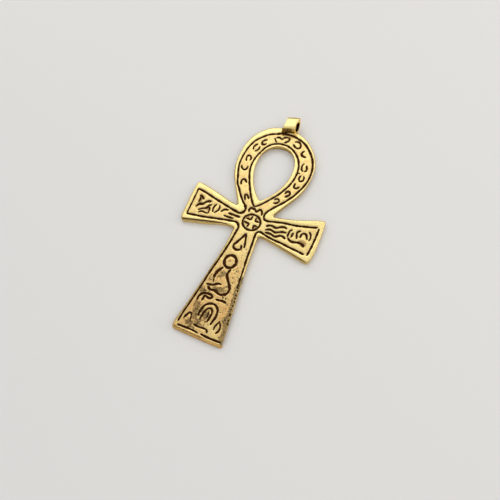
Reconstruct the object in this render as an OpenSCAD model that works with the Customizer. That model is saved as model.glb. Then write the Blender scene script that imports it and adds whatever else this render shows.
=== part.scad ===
// Ankh pendant: one flat casting with a teardrop loop, a bail and an engraved face.
// The part lies on its back, face up, with the bail towards +Y.
// Lengths are millimetres. The origin is under the middle of its box, on the back face.

/* [Plate] */
// Thickness of the plate
plate_t = 1.8; // [1.5:0.1:3.2]
// Radius of the corners of the arms and the foot
corner_r = 0.7; // [0.2:0.1:1.2]
// Radius of the inside corners between the arms, the loop and the leg
notch_r = 0.8; // [0.2:0.1:1.2]

/* [Arms] */
// Distance between the tips of the two arms
arm_span = 38.9; // [34:0.1:56]
// Height of an arm at its tip
arm_tip_h = 11.9; // [9.5:0.1:15]
// Height of an arm where it meets the loop
arm_root_h = 6.1; // [5.8:0.1:8]
// How far the arms' middle line lies above the medallion's centre
arm_lift = 0.45; // [0:0.05:1]

/* [Leg] */
// Distance from the medallion's centre down to the back edge of the foot
foot_reach = 34.8; // [28:0.1:48]
// Width of the leg at the foot
foot_w = 14.5; // [11:0.1:18]
// Width of the leg just below the arms
leg_root_w = 7.3; // [6.8:0.1:8.4]
// Sideways lean of the foot, as hand-finished castings have
foot_lean = 1; // [0:0.1:1.6]
// Run of the foot's sloping end, from its back edge to its front edge
foot_slope = 0.7; // [0.1:0.1:1]

/* [Loop] */
// Widest width over the loop
loop_w = 22.1; // [20:0.1:28]
// Distance from the medallion's centre up to the top of the loop's rim
loop_reach = 30.35; // [28:0.05:40]
// Widest width of the loop's opening
hole_w = 10.9; // [8:0.1:12]
// Distance from the medallion's centre up to the bottom of the opening
hole_bottom = 6.8; // [6.4:0.1:8]
// Width of the loop's band at the top, from the opening to the rim
crown_band = 5.65; // [4.8:0.05:7]
// Sideways lean of the loop's crown
crown_lean = 0.9; // [0:0.1:1.2]

/* [Bail] */
// Length of the bail's tube, from side to side
bail_w = 3.4; // [2.4:0.1:6]
// Radius of the bail's bore
bore_r = 1.45; // [1:0.05:2.4]
// Wall of the bail's tube
bail_wall = 0.75; // [0.6:0.05:1.2]

/* [Engraving] */
// Depth of the engraved lines
line_depth = 0.4; // [0.2:0.05:0.6]
// Width of the border lines
border_line = 0.42; // [0.3:0.02:0.6]
// Distance from the arms' upper and lower edges in to their border lines
arm_margin = 1.5; // [1:0.1:2]
// Distance from the arms' tips in to their border lines
tip_margin = 1.35; // [1:0.05:2]
// Distance from the leg's sides in to their border lines
leg_margin = 0.7; // [0.6:0.05:1.2]
// Distance from the foot's back edge in to its border line
foot_margin = 1.45; // [1.2:0.05:2.4]
// Radius of the medallion's ring line
medal_r = 2.42; // [2:0.02:2.6]

/* [Hidden] */
$fn = 48;

bail_r = bore_r + bail_wall;
bore_gap = 0.05;
bail_y = loop_reach + bore_gap + bore_r;
top_reach = bail_y + bail_r;
mid_y = (foot_reach - top_reach) / 2;
arm_half = arm_span / 2;
tip_top = arm_lift + arm_tip_h / 2;
tip_bottom = arm_lift - arm_tip_h / 2;
root_top = arm_lift + arm_root_h / 2;
root_bottom = arm_lift - arm_root_h / 2;
loop_h = loop_reach - root_top;
over = 1;

// Steps of the curves.
corner_steps = 5;
leg_steps = 8;
curve_steps = 4;
drop_steps = 40;

// The leg widens faster towards the foot, and its sway grows with it.
leg_flare = 1.25;
leg_sway = 1.5;
// The crown starts to lean at this share of the loop's height.
crown_start = 0.6;
// The opening's teardrop: its fall sets how full it is above its point.
drop_fall = 0.8;

// The loop, its border line, the bail and the medallion stand a little beside the arms' middle.
loop_x = -0.25;
loop_line_x = -0.15;
bail_x = -0.35;
medal_at = [0.17, -0.05];

// The border lines' ends and corners.
tip_gap = 0.4;
foot_gap = 0.6;
leg_line_start = 0.06;
leg_line_gap = 0.02;
root_drop = 0.3;
root_round = 1.5;
// Share of the arms' margin at the root of the lower lines, left and right.
low_left = 0.85;
low_right = 0.55;

// The line around the opening: its distance from the opening at the sides, the point and the top.
inner_side = 1.25;
inner_point = 2.05;
inner_top = 0.8;
inner_point_line = 0.5;

// The medallion's cross: its half width, the reach of its lines and their width.
medal_cross = 0.53;
medal_reach = 2.05;
medal_line = 0.34;

// A line's ends are cut back at the corners, and its bends widen no more than this.
line_nose = 0.35;
bend_limit = 0.5;

// The rim from the arm up to the crown.
// Columns: share of half the loop's width, share of its height.
RIM = [
    [0.507, 0], [0.62, 0.11], [0.795, 0.23], [0.93, 0.355], [0.993, 0.485], [0.995, 0.62],
    [0.93, 0.745], [0.787, 0.845], [0.57, 0.927], [0.3, 0.983], [0, 1]];

// The border line inside the rim, in the same columns.
RIM_LINE = [
    [0.275, 0], [0.36, 0.055], [0.53, 0.14], [0.7, 0.235], [0.825, 0.347], [0.9, 0.447],
    [0.927, 0.56], [0.91, 0.66], [0.833, 0.744], [0.688, 0.822], [0.498, 0.89],
    [0.27, 0.931], [0, 0.948]];

// The signs are drawn at these sizes, and follow the size of the field they stand in.
ARM_CHART = [38.9, 11.9];
LEG_CHART = [14.5, 34.8];
LOOP_CHART = [22.1, 30.35];
// The charts' middle line, from the arms' middle.
chart_x = -0.25;

// Each stroke is its width and its points.
LEFT_ARM = [
    [0.4, [[-16.4, 2.75], [-15.7, 2.55], [-15, 2.05]]],
    [0.4, [[-16.25, 2.2], [-16.1, 1.5], [-16.2, 0.7]]],
    [0.6, [[-16.3, -0.85], [-16.1, -0.35], [-15.8, 0.1]]],
    [0.5, [[-15.7, 0.3], [-15.1, 0.4], [-14.6, 0.85], [-14.2, 1.4], [-13.7, 1.85], [-13, 1.95]]],
    [0.4, [[-15.2, -1.6], [-14.5, -0.95], [-13.6, -0.5], [-13.2, 0.1], [-12.8, 0.7], [-12.1, 1]]],
    [0.35, [[-12.4, 0.1], [-12.1, -0.4], [-12, -1.1]]],
    [0.35, [[-14.9, -2.3], [-14.4, -1.8], [-13.8, -1.65], [-13, -1.75], [-12.4, -1.65]]],
    [0.35, [[-10.9, 1.6], [-11.3, 0.9], [-11.3, -0.1], [-11, -0.8]]],
    [0.35, [[-10, 1.6], [-9.75, 0.9], [-9.8, 0.1], [-10.2, -0.5], [-10.5, -0.9]]],
    [0.38, [[-8.85, 0.1], [-8.5, 0.65], [-7.9, 1.05], [-7.1, 1.15]]],
    [0.42, [[-6.7, 0.3], [-3.2, 0.3]]],
    [0.38, [[-7.7, -0.85], [-4.9, -0.8]]]];

RIGHT_ARM = [
    [0.4, [[4.7, 0.35], [5.8, 0.95], [7.2, 0.8], [8.2, 1.3], [9.2, 1.7], [10.1, 1.6]]],
    [0.4, [[4.9, -0.75], [5.8, -0.25], [7.6, -0.45], [8.6, 0], [9.6, 0.35], [10.5, 0.4]]],
    [0.38, [[5.1, -1.5], [6.4, -1.3], [7.8, -1.65], [8.7, -1.25], [9.5, -0.8], [10.8, -1.2]]],
    [0.35, [[11.7, 1.7], [11.25, 1.1], [11.2, 0.3], [11.3, -0.5]]],
    [0.42, [[12.3, 0.9], [12.15, -0.35]]],
    [0.42, [[13.9, 2.15], [13.4, 1.6], [13.4, 0.8], [13.7, -0.2]]],
    [0.38, [[14.5, 0.4], [14.6, 1.3], [15.2, 1.85], [15.8, 1.6], [16.4, 0.5]]],
    [0.35, [[16.3, 2.65], [16.9, 2], [17.15, 1.2], [17, 0.35]]],
    [0.38, [[11.6, -1.05], [12.3, -1.45], [13.4, -1.45], [14.5, -1.2], [15.6, -1.3]]]];

LOOP_SIGNS = [
    [0.35, [[-4, 5.6], [-4.45, 6.3], [-4.4, 7.1], [-3.8, 7], [-3.2, 6.3]]],
    [0.35, [[-6.7, 9.8], [-7.05, 10.6], [-6.8, 11.5], [-6.2, 11.3], [-5.7, 10.8]]],
    [0.35, [[-9.1, 15.3], [-8.7, 14.6], [-8.1, 14.2], [-7.5, 14.5], [-7.35, 15.5]]],
    [0.35, [[-8.4, 17.2], [-8.75, 18.1], [-8.3, 19], [-7.7, 18.7], [-7.6, 17.7]]],
    [0.38, [[-7.4, 23.2], [-8, 22.4], [-8.1, 21.6], [-7.9, 21.3]]],
    [0.38, [[-6.6, 22.6], [-6.7, 21.7], [-7.3, 21]]],
    [0.38, [[-5.4, 25.4], [-6.1, 24.9], [-6.35, 24.1], [-5.8, 23.6], [-5.1, 24.2]]],
    [0.35, [[-3.4, 26.6], [-3, 26.05], [-2.4, 25.6]]],
    [0.35, [[-3, 26.95], [-2.3, 27.2], [-1.5, 26.95], [-1, 27.5], [-0.2, 27.9]]],
    [0.4, [[0.7, 27.9], [0.85, 27.3], [0.5, 26.6], [-0.2, 26.1]]],
    [0.38, [[2.4, 26.4], [3.1, 25.8], [4.1, 25.6], [4.6, 26.2], [4.4, 27], [3.5, 27.5], [2.6, 27.2]]],
    [0.42, [[6.1, 25.3], [5.7, 24.5], [6.1, 23.8], [7.2, 23.6]]],
    [0.42, [[7.5, 21.5], [7.25, 20.5], [7.6, 19.5], [8, 19.2]]],
    [0.42, [[8.45, 21.1], [8.9, 20.3], [8.65, 19.3]]],
    [0.42, [[8, 17.7], [7.75, 16.9], [8.1, 16.1], [8.8, 16.1], [9.15, 17], [8.85, 17.7]]],
    [0.38, [[7.35, 14.8], [7.4, 13.8], [8, 13.5], [8.8, 14.2]]],
    [0.38, [[5.9, 11.2], [6.4, 12], [7.1, 11.8], [7, 10.9], [6.3, 10.2]]],
    [0.38, [[3.8, 8.5], [4.6, 9.05], [5.2, 8.5], [4.8, 7.6], [4, 7.3]]]];

LEG_SIGNS = [
    [0.5, [[0.3, -3.7], [-0.2, -5], [-0.8, -6.3], [-1.4, -7.4], [-1.4, -8.2], [-0.6, -8.65], [0.3, -8.4],
           [0.6, -7.8], [0.4, -7.3]]],
    [0.38, [[0.5, -4.2], [0.9, -5.6], [1.3, -7], [1.5, -8.1]]],
    [0.65, [[-1.8, -14.9], [-2.4, -15.8], [-2.85, -16.9], [-2.85, -18.2]]],
    [0.55, [[0.35, -14.9], [0.3, -16], [0.9, -17.2], [2, -18.7], [2.45, -20], [2.1, -21.1], [1, -21.7],
            [-0.2, -21.6], [-1.6, -21.35], [-2.7, -21.45], [-3.3, -21]]],
    [0.5, [[-4, -20.45], [-2.6, -20.25], [-1.6, -19.6], [-0.8, -19.2], [-0.3, -19.25]]],
    [0.5, [[-4.6, -25.2], [-4.55, -24.2], [-4, -23.2], [-3, -22.75], [-1.9, -22.7], [-1.15, -23.1],
           [-1.5, -23.7], [-2.6, -23.65]]],
    [0.45, [[-3.2, -24], [-3.3, -25.2]]],
    [0.45, [[0.2, -23.5], [1.6, -23.35], [2.9, -23.4]]],
    [0.5, [[-2.6, -29], [-2.5, -27.2], [-1.9, -25.7], [-0.9, -24.95], [0.4, -24.8], [1.4, -25.5],
           [1.9, -26.9], [1.9, -28.3], [1.5, -30.1]]],
    [0.45, [[-1.7, -29.9], [-1.5, -28], [-1, -26.6], [-0.3, -26.1], [0.5, -26.5], [0.75, -27.6],
            [0.4, -29.6]]],
    [0.3, [[-0.2, -27.2], [-0.15, -28.9]]],
    [0.42, [[-5.8, -30.6], [-5.2, -29.3], [-4.7, -29], [-4.2, -29.8], [-3.9, -30.7]]],
    [0.38, [[3.5, -28.6], [2.9, -30], [2.8, -31.1]]],
    [0.38, [[3.7, -28.9], [4.25, -30.2], [3.7, -31.7]]],
    [0.4, [[-2.7, -31.65], [-0.8, -31.7], [0.8, -31.7], [1.4, -32.2]]]];

// The round eye of the leg.
EYE_AT = [-0.52, -12.55];
eye_r = 1.62;
eye_line = 0.6;

// The arch of two humps over the medallion.
HUMPS = [
    [0.5, [[-1.6, 2.85], [-1.55, 3.7], [-0.9, 4], [-0.1, 3.8], [0.5, 3.3]]],
    [0.4, [[0.5, 3.3], [1, 4.1], [1.5, 4.25], [2.05, 3.6], [2.15, 2.9]]]];

function unit(v) = v / norm(v);
function side(v) = [-v.y, v.x];
function turned(a) = a > 180 ? a - 360 : a < -180 ? a + 360 : a;

// The arc that rounds corner b of the path a, b, c.
function arc(a, b, c, r) =
    let (u = unit(a - b), v = unit(c - b), half = acos(u * v) / 2,
         mid = b + unit(u + v) * r / sin(half),
         p = b + u * r / tan(half) - mid, q = b + v * r / tan(half) - mid,
         start = atan2(p.y, p.x), sweep = turned(atan2(q.y, q.x) - start))
    [for (i = [0:corner_steps])
        mid + r * [cos(start + sweep * i / corner_steps), sin(start + sweep * i / corner_steps)]];

// An outline whose points have their corner radius as a third value.
function rounded(pts) =
    let (n = len(pts))
    [for (i = [0:n - 1])
        each pts[i].z > 0
            ? arc(xy(pts[(i + n - 1) % n]), xy(pts[i]), xy(pts[(i + 1) % n]), pts[i].z)
            : [xy(pts[i])]];
function xy(p) = [p.x, p.y];
function square_corner(pts) = [for (p = pts) [p.x, p.y, 0]];
function reversed(pts) = [for (i = [len(pts) - 1:-1:0]) pts[i]];
function mirrored(pts) = [for (p = pts) [-p.x, p.y]];

// A smooth curve through points, straight at its ends.
function smooth(pts) =
    let (n = len(pts) - 1)
    [for (i = [0:n - 1])
        let (p = pts[i], q = pts[i + 1], a = i > 0 ? pts[i - 1] : 2 * p - q,
             b = i < n - 1 ? pts[i + 2] : 2 * q - p)
        each [for (k = [0:curve_steps - 1]) let (t = k / curve_steps)
            ((2 * p) + (q - a) * t + (2 * a - 5 * p + 4 * q - b) * t * t
             + (3 * p - a - 3 * q + b) * t * t * t) / 2],
     pts[n]];

// A teardrop with its point at the bottom and its widest place above the middle.
function drop(w, bottom, top) =
    let (widest = drop_fall / (drop_fall + 1 / 2), full = pow(widest, drop_fall) * sqrt(1 - widest))
    [for (i = [-drop_steps:drop_steps])
        let (h = (1 - cos(180 * i / drop_steps)) / 2)
        [sign(i) * w / 2 * pow(h, drop_fall) * sqrt(1 - h) / full, bottom + (top - bottom) * h]];

// One side of the loop from a table, and its two sides with the crown's lean.
function loop_side(table) = smooth([for (s = table) [s.x * loop_w / 2, root_top + s.y * loop_h]]);
function leaned(p) =
    let (s = max(0, ((p.y - root_top) / loop_h - crown_start) / (1 - crown_start)))
    [p.x + loop_x - crown_lean * s * s, p.y];
function rim() =
    let (half = loop_side(RIM))
    [for (p = concat(mirrored(half), reversed([for (i = [0:len(half) - 2]) half[i]]))) leaned(p)];

// A point down the leg: s is the share of the way to the foot, in is the distance in from the side.
function leg_at(s, way, in) =
    [way * (leg_root_w / 2 + (foot_w - leg_root_w) / 2 * pow(s, leg_flare) - in)
        - foot_lean * pow(s, leg_sway),
     root_bottom - s * (foot_reach + root_bottom)];
function leg_side(way, in, from, to) =
    [for (i = [0:leg_steps]) leg_at(from + (to - from) * i / leg_steps, way, in)];

// The plate's outline: arms, leg and loop.
function arm_half_outline(way) = [
    [way * arm_half, tip_top, corner_r],
    [way * arm_half, tip_bottom, corner_r]];
function plate_outline() = rounded(concat(
    [[loop_x + RIM[0].x * loop_w / 2, root_top, notch_r / 2]],
    arm_half_outline(1),
    [[leg_at(0, 1, 0).x, root_bottom, notch_r]],
    square_corner([for (i = [1:leg_steps - 1]) leg_at(i / leg_steps, 1, 0)]),
    [[leg_at(1, 1, 0).x, -foot_reach, corner_r], [leg_at(1, -1, 0).x, -foot_reach, corner_r]],
    square_corner([for (i = [leg_steps - 1:-1:1]) leg_at(i / leg_steps, -1, 0)]),
    [[leg_at(0, -1, 0).x, root_bottom, notch_r]],
    reversed(arm_half_outline(-1)),
    [[loop_x - RIM[0].x * loop_w / 2, root_top, notch_r / 2]],
    square_corner([for (i = [1:len(rim()) - 2]) rim()[i]])));

// The outline of a line of width w along a path.
function ribbon(pts, w) =
    let (n = len(pts) - 1,
         sides = [for (i = [0:n])
             let (a = unit(pts[max(i, 1)] - pts[max(i, 1) - 1]),
                  b = unit(pts[min(i + 1, n)] - pts[min(i + 1, n) - 1]), m = unit(a + b))
             side(m) * w / 2 / max(bend_limit, a * m)],
         nose = w * line_nose, head = unit(pts[0] - pts[1]) * nose,
         tail = unit(pts[n] - pts[n - 1]) * nose)
    concat([for (i = [0:n]) pts[i] + sides[i]],
           [pts[n] + tail + sides[n] / 2, pts[n] + tail - sides[n] / 2],
           [for (i = [n:-1:0]) pts[i] - sides[i]],
           [pts[0] + head - sides[0] / 2, pts[0] + head + sides[0] / 2]);

module engrave() {
    translate([0, 0, plate_t - line_depth]) linear_extrude(line_depth + over) children();
}

// The signs of one field. k is the field's size over its chart's size.
module signs(table, k) {
    for (s = table)
        polygon(ribbon([for (p = s[1]) [(p.x + chart_x) * k.x, p.y * k.y]], s[0]));
}

// The border lines run at these places on the arms and the leg.
tip_line_x = arm_half - tip_margin;
root_x = RIM[0].x * loop_w / 2;
function arm_edge(x, tip, root) = root + (tip - root) * (x - root_x) / (arm_half - root_x);
line_top = arm_edge(tip_line_x, tip_top, root_top) - arm_margin;
line_bottom = arm_edge(tip_line_x, tip_bottom, root_bottom) + arm_margin;
line_root_top = root_top - arm_margin - root_drop;
line_root_x = RIM_LINE[0].x * loop_w / 2;
leg_line_s = (foot_reach - foot_margin + root_bottom) / (foot_reach + root_bottom);

// Up the left arm's tip, over the loop, and out along the right arm.
module upper_border() {
    half = loop_side(RIM_LINE);
    arch = concat(mirrored(half), reversed([for (i = [0:len(half) - 2]) half[i]]));
    pts = concat(
        [[-tip_line_x, line_bottom + tip_gap / 2, 0], [-tip_line_x, line_top, corner_r / 2],
         [loop_line_x - line_root_x, line_root_top, notch_r]],
        square_corner([for (i = [1:len(arch) - 2]) [arch[i].x + loop_line_x, arch[i].y]]),
        [[loop_line_x + line_root_x, line_root_top, notch_r], [tip_line_x - tip_gap, line_top, 0]]);
    polygon(ribbon(rounded(pts), border_line));
}

// The right arm's tip.
module tip_border() {
    polygon(ribbon([[tip_line_x, line_top - tip_gap / 2], [tip_line_x, line_bottom]], border_line));
}

// From an arm's tip along its lower side and down the leg.
module lower_border(way, root_share) {
    pts = concat(
        [[way * (tip_line_x - tip_gap), line_bottom, 0],
         [leg_at(0, way, leg_margin).x, root_bottom + arm_margin * root_share, notch_r * root_round]],
        square_corner(leg_side(way, leg_margin, leg_line_start, leg_line_s - leg_line_gap)));
    polygon(ribbon(rounded(pts), border_line));
}

module foot_border() {
    y = -foot_reach + foot_margin;
    left = leg_at(leg_line_s, -1, leg_margin).x;
    right = leg_at(leg_line_s, 1, leg_margin).x;
    middle = (left + right) / 2;
    polygon(ribbon([[left, y], [middle - foot_gap / 2, y]], border_line));
    polygon(ribbon([[middle + foot_gap / 2, y], [right, y]], border_line));
}

// The line around the opening.
module inner_border() {
    w = hole_w + 2 * inner_side;
    bottom = hole_bottom - inner_point;
    top = loop_reach - crown_band + inner_top;
    translate([loop_x, 0]) difference() {
        polygon(drop(w + border_line, bottom - inner_point_line / 2, top + border_line / 2));
        polygon(drop(w - border_line, bottom + inner_point_line / 2, top - border_line / 2));
    }
}

module medallion() {
    translate(medal_at) {
        difference() {
            circle(r = medal_r + border_line / 2);
            circle(r = medal_r - border_line / 2);
        }
        for (a = [0:90:270])
            rotate(a)
                polygon(ribbon([[medal_reach, medal_cross], [medal_cross, medal_cross],
                                [medal_cross, medal_reach]], medal_line));
    }
    for (s = HUMPS)
        polygon(ribbon([for (p = s[1]) [p.x + chart_x, p.y]], s[0]));
}

module eye(k) {
    translate([(EYE_AT.x + chart_x) * k.x, EYE_AT.y * k.y]) difference() {
        circle(r = eye_r + eye_line / 2);
        circle(r = eye_r - eye_line / 2);
    }
}

module plate() {
    difference() {
        linear_extrude(plate_t) difference() {
            polygon(plate_outline());
            translate([loop_x, 0]) polygon(drop(hole_w, hole_bottom, loop_reach - crown_band));
        }
        translate([-foot_w, -foot_reach, 0]) rotate([90, 0, 90])
            linear_extrude(2 * foot_w)
                polygon([[-over, -over], [-foot_slope * over / plate_t, -over],
                         [foot_slope * (plate_t + over) / plate_t, plate_t + over],
                         [-over, plate_t + over]]);
    }
}

module engraving() {
    k_arm = [arm_span / ARM_CHART.x, arm_tip_h / ARM_CHART.y];
    k_leg = [foot_w / LEG_CHART.x, foot_reach / LEG_CHART.y];
    k_loop = [loop_w / LOOP_CHART.x, loop_reach / LOOP_CHART.y];
    engrave() upper_border();
    engrave() tip_border();
    engrave() lower_border(-1, low_left);
    engrave() lower_border(1, low_right);
    engrave() foot_border();
    engrave() inner_border();
    engrave() medallion();
    engrave() eye(k_leg);
    engrave() signs(LEFT_ARM, k_arm);
    engrave() signs(RIGHT_ARM, k_arm);
    engrave() signs(LEG_SIGNS, k_leg);
    engrave() signs(LOOP_SIGNS, k_loop);
}

// A rod along the bail's middle line.
module bail_rod(r, length) {
    translate([bail_x, bail_y, bail_r]) rotate([0, 90, 0]) cylinder(r = r, h = length, center = true);
}

module pendant() {
    color("goldenrod") translate([0, mid_y, 0]) difference() {
        union() {
            plate();
            bail_rod(bail_r, bail_w);
        }
        bail_rod(bore_r, bail_w + 2 * over);
        engraving();
    }
}

pendant();
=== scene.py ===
import math
import random

import bmesh
import bpy
from mathutils import Matrix, Vector
from mathutils.geometry import delaunay_2d_cdt


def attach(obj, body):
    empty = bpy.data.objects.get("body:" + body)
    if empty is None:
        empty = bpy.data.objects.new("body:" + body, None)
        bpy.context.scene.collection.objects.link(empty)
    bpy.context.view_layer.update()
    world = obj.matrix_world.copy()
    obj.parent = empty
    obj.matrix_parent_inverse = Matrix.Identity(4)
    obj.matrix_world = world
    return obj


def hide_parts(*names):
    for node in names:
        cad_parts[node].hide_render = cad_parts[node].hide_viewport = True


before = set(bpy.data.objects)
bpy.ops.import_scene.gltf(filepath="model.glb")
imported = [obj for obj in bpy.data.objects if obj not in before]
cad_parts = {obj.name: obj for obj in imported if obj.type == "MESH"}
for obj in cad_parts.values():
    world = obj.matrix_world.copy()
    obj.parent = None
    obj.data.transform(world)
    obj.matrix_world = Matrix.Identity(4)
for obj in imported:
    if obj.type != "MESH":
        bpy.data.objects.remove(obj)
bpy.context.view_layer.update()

mm = 0.001
print("frame loaded")


# Small helpers for node trees: sums on sockets are written as plain expressions.
class Value:
    def __init__(self, sheet, socket):
        self.sheet, self.socket = sheet, socket

    def math(self, operation, *others, clamp=False):
        node = self.sheet.add("ShaderNodeMath", {"operation": operation, "use_clamp": clamp}, [self, *others])
        return Value(self.sheet, node.outputs[0])

    def flipped(self, operation, other):
        node = self.sheet.add("ShaderNodeMath", {"operation": operation}, [other, self])
        return Value(self.sheet, node.outputs[0])

    def __add__(self, other): return self.math("ADD", other)
    def __radd__(self, other): return self.flipped("ADD", other)
    def __sub__(self, other): return self.math("SUBTRACT", other)
    def __rsub__(self, other): return self.flipped("SUBTRACT", other)
    def __mul__(self, other): return self.math("MULTIPLY", other)
    def __truediv__(self, other): return self.math("DIVIDE", other)

    def clamped(self): return self.math("ADD", 0.0, clamp=True)
    def root(self): return self.math("SQRT")
    def highest(self, other): return self.math("MAXIMUM", other)

    # 0 at start, 1 at end, eased in between
    def ramp(self, start, end):
        node = self.sheet.add("ShaderNodeMapRange", {"interpolation_type": "SMOOTHSTEP", "clamp": True},
                              {"Value": self, "From Min": start, "From Max": end, "To Min": 0.0, "To Max": 1.0})
        return Value(self.sheet, node.outputs["Result"])


class Sheet:
    def __init__(self, tree):
        self.tree = tree

    # kind of node, its settings, then values or links for its sockets by name or by order
    def add(self, kind, settings=None, sockets=None):
        node = self.tree.nodes.new(kind)
        for name, value in (settings or {}).items():
            setattr(node, name, value)
        pairs = sockets.items() if isinstance(sockets, dict) else enumerate(sockets or [])
        for key, value in pairs:
            target = node.inputs[key]
            if isinstance(value, Value):
                value = value.socket
            if isinstance(value, bpy.types.NodeSocket):
                self.tree.links.new(value, target)
            elif value is not None:
                target.default_value = value
        return node

    def value(self, node, output=0):
        return Value(self, node.outputs[output])

    def mix(self, factor, a, b):
        return self.add("ShaderNodeMix", {"data_type": "RGBA", "clamp_factor": True},
                        {0: factor, 6: a, 7: b}).outputs[2]


def emptySheet(owner):
    owner.use_nodes = True
    owner.node_tree.nodes.clear()
    return Sheet(owner.node_tree)


# Vertices in mm, with a value for each of them under every mark
def markedMesh(name, vertices, edges, faces, marks):
    mesh = bpy.data.meshes.new(name)
    mesh.from_pydata([(x * mm, y * mm, z * mm) for x, y, z in vertices], edges, faces)
    storeMarks(mesh, marks)
    return mesh


def storeMarks(mesh, marks):
    for name, column in marks.items():
        mesh.attributes.new(name, "FLOAT", "POINT").data.foreach_set("value", column)


def placed(name, data):
    thing = bpy.data.objects.new(name, data)
    bpy.context.collection.objects.link(thing)
    return thing


# The mesh of an object as its modifiers leave it
def changedMesh(thing):
    bpy.context.view_layer.update()
    return bpy.data.meshes.new_from_object(thing.evaluated_get(bpy.context.evaluated_depsgraph_get()))


# The pendant was charted face-on in mm, from the medallion's place. This puts the chart on the part.
chart = {"right": -0.25, "up": 0.375, "plateTop": 1.8}


def onPart(p):
    return (p[0] + chart["right"], p[1] + chart["up"])


def onChart(x, y):
    return x - chart["right"], y - chart["up"]


# A smooth line through given points, with a point about every step mm
def smoothLine(points, step=0.05):
    line = []
    for i, (p1, p2) in enumerate(zip(points, points[1:])):
        p0 = points[i - 1] if i > 0 else (2 * p1[0] - p2[0], 2 * p1[1] - p2[1])
        p3 = points[i + 2] if i + 2 < len(points) else (2 * p2[0] - p1[0], 2 * p2[1] - p1[1])
        count = max(1, round(math.dist(p1, p2) / step))
        for k in range(count):
            t = k / count
            line.append(tuple(
                0.5 * (2 * b + (c - a) * t + (2 * a - 5 * b + 4 * c - d) * t * t
                       + (3 * b - a - 3 * c + d) * t ** 3)
                for a, b, c, d in zip(p0, p1, p2, p3)))
    line.append(tuple(points[-1]))
    return line


# The same line with evenly spaced points
def evenLine(line, step, closed=False):
    pts = list(line) + ([line[0]] if closed else [])
    runs = [0.0]
    for a, b in zip(pts, pts[1:]):
        runs.append(runs[-1] + math.dist(a, b))
    count = max(3 if closed else 1, round(runs[-1] / step))
    out, j = [], 0
    for k in range(count if closed else count + 1):
        s = runs[-1] * k / count
        while j < len(runs) - 2 and runs[j + 1] < s:
            j += 1
        t = (s - runs[j]) / max(runs[j + 1] - runs[j], 1e-9)
        out.append(tuple(a + (b - a) * t for a, b in zip(pts[j], pts[j + 1])))
    return out


# Joins smooth runs end to end and rounds the corner between one run and the next by its cut
def roundedRuns(runs, cornerSteps):
    lines = [smoothLine(run["points"]) for run in runs]
    outline = []
    for i, line in enumerate(lines):
        before, after = runs[i]["cut"], runs[(i + 1) % len(runs)]["cut"]
        inner = [p for p in line
                 if math.dist(p, line[0]) > before and math.dist(p, line[-1]) > after]
        outline += inner
        nextLine = lines[(i + 1) % len(lines)]
        corner = line[-1]
        start = inner[-1]
        end = next(p for p in nextLine if math.dist(p, nextLine[0]) > after)
        for k in range(1, cornerSteps):
            t = k / cornerSteps
            outline.append(tuple(a * (1 - t) ** 2 + 2 * b * t * (1 - t) + c * t * t
                                 for a, b, c in zip(start, corner, end)))
    return outline


# The casting's plan, in chart mm. cut: how much of the corner before the run is rounded away.
plan = {
    "ringStep": 0.2, "cornerSteps": 8,
    "runs": [
        {"cut": 0.55, "points": [(5.35, 3.55), (8, 4.02), (11, 4.68), (14, 5.6), (17, 6.63), (19.38, 7.25)]},
        {"cut": 0.9, "points": [(19.38, 7.25), (19.57, 4.5), (19.65, 2), (19.65, -1), (19.5, -3.5), (19.1, -5.8)]},
        {"cut": 0.8, "points": [(19.1, -5.8), (17.5, -5.4), (15, -4.88), (12, -4.27), (9, -3.67), (6.5, -3.25),
            (3.8, -2.85)]},
        {"cut": 1.1, "points": [(3.8, -2.85), (3.85, -5), (4.05, -9), (4.3, -13), (4.75, -17), (5.2, -21), (5.7, -25),
            (6.05, -29), (6.35, -33), (6.42, -34.3)]},
        {"cut": 0.7, "points": [(6.42, -34.3), (3, -34.35), (0, -34.3), (-4, -34.2), (-8.05, -34.05)]},
        {"cut": 0.7, "points": [(-8.05, -34.05), (-7.87, -32), (-7.05, -28), (-6.33, -24), (-5.65, -20), (-5, -16),
            (-4.5, -13), (-4.1, -10), (-3.82, -8), (-3.65, -5), (-3.55, -2.85)]},
        {"cut": 0.9, "points": [(-3.55, -2.85), (-4.7, -2.8), (-6.1, -2.83), (-8.85, -3.2), (-11.9, -3.9),
            (-14.9, -4.6), (-17.7, -5.25), (-19.15, -5.55)]},
        {"cut": 0.8, "points": [(-19.15, -5.55), (-19.15, -2), (-19.15, 1), (-19.1, 4), (-18.95, 6.62)]},
        {"cut": 0.8, "points": [(-18.95, 6.62), (-17, 6.3), (-14.5, 5.78), (-11, 4.86), (-8, 3.98), (-5.25, 3.5)]},
        {"cut": 0.55, "points": [(-5.25, 3.5), (-6.15, 5.05), (-7.35, 7.08), (-9.12, 10.08), (-10.12, 12.05),
            (-10.77, 14.05), (-11.1, 16), (-11.2, 18.5), (-11.07, 21), (-10.65, 23.05), (-9.87, 25.1), (-8.52, 27.12),
            (-6.75, 28.88), (-5.2, 29.83), (-3.05, 30.52), (-0.9, 30.7), (1.3, 30.55), (3.35, 29.93), (5.27, 29),
            (7.52, 27.2), (9.27, 25.12), (10.38, 23.05), (10.95, 21), (11.1, 18.5), (10.97, 16), (10.6, 14),
            (9.95, 12), (8.95, 10), (7.2, 7), (6.05, 5), (5.35, 3.55)]},
    ],
    "opening": {"wide": 10.9, "bottom": 6.8, "top": 24.6, "fall": 0.8, "points": 120},
}


def openingLine():
    o = plan["opening"]
    widest = o["fall"] / (o["fall"] + 0.5)
    full = widest ** o["fall"] * math.sqrt(1 - widest)
    line = []
    for i in range(-o["points"], o["points"]):
        h = (1 - math.cos(math.pi * i / o["points"])) / 2
        x = math.copysign(o["wide"] / 2 * h ** o["fall"] * math.sqrt(max(0, 1 - h)) / full, i)
        line.append((x, o["bottom"] + (o["top"] - o["bottom"]) * h))
    return line


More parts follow.
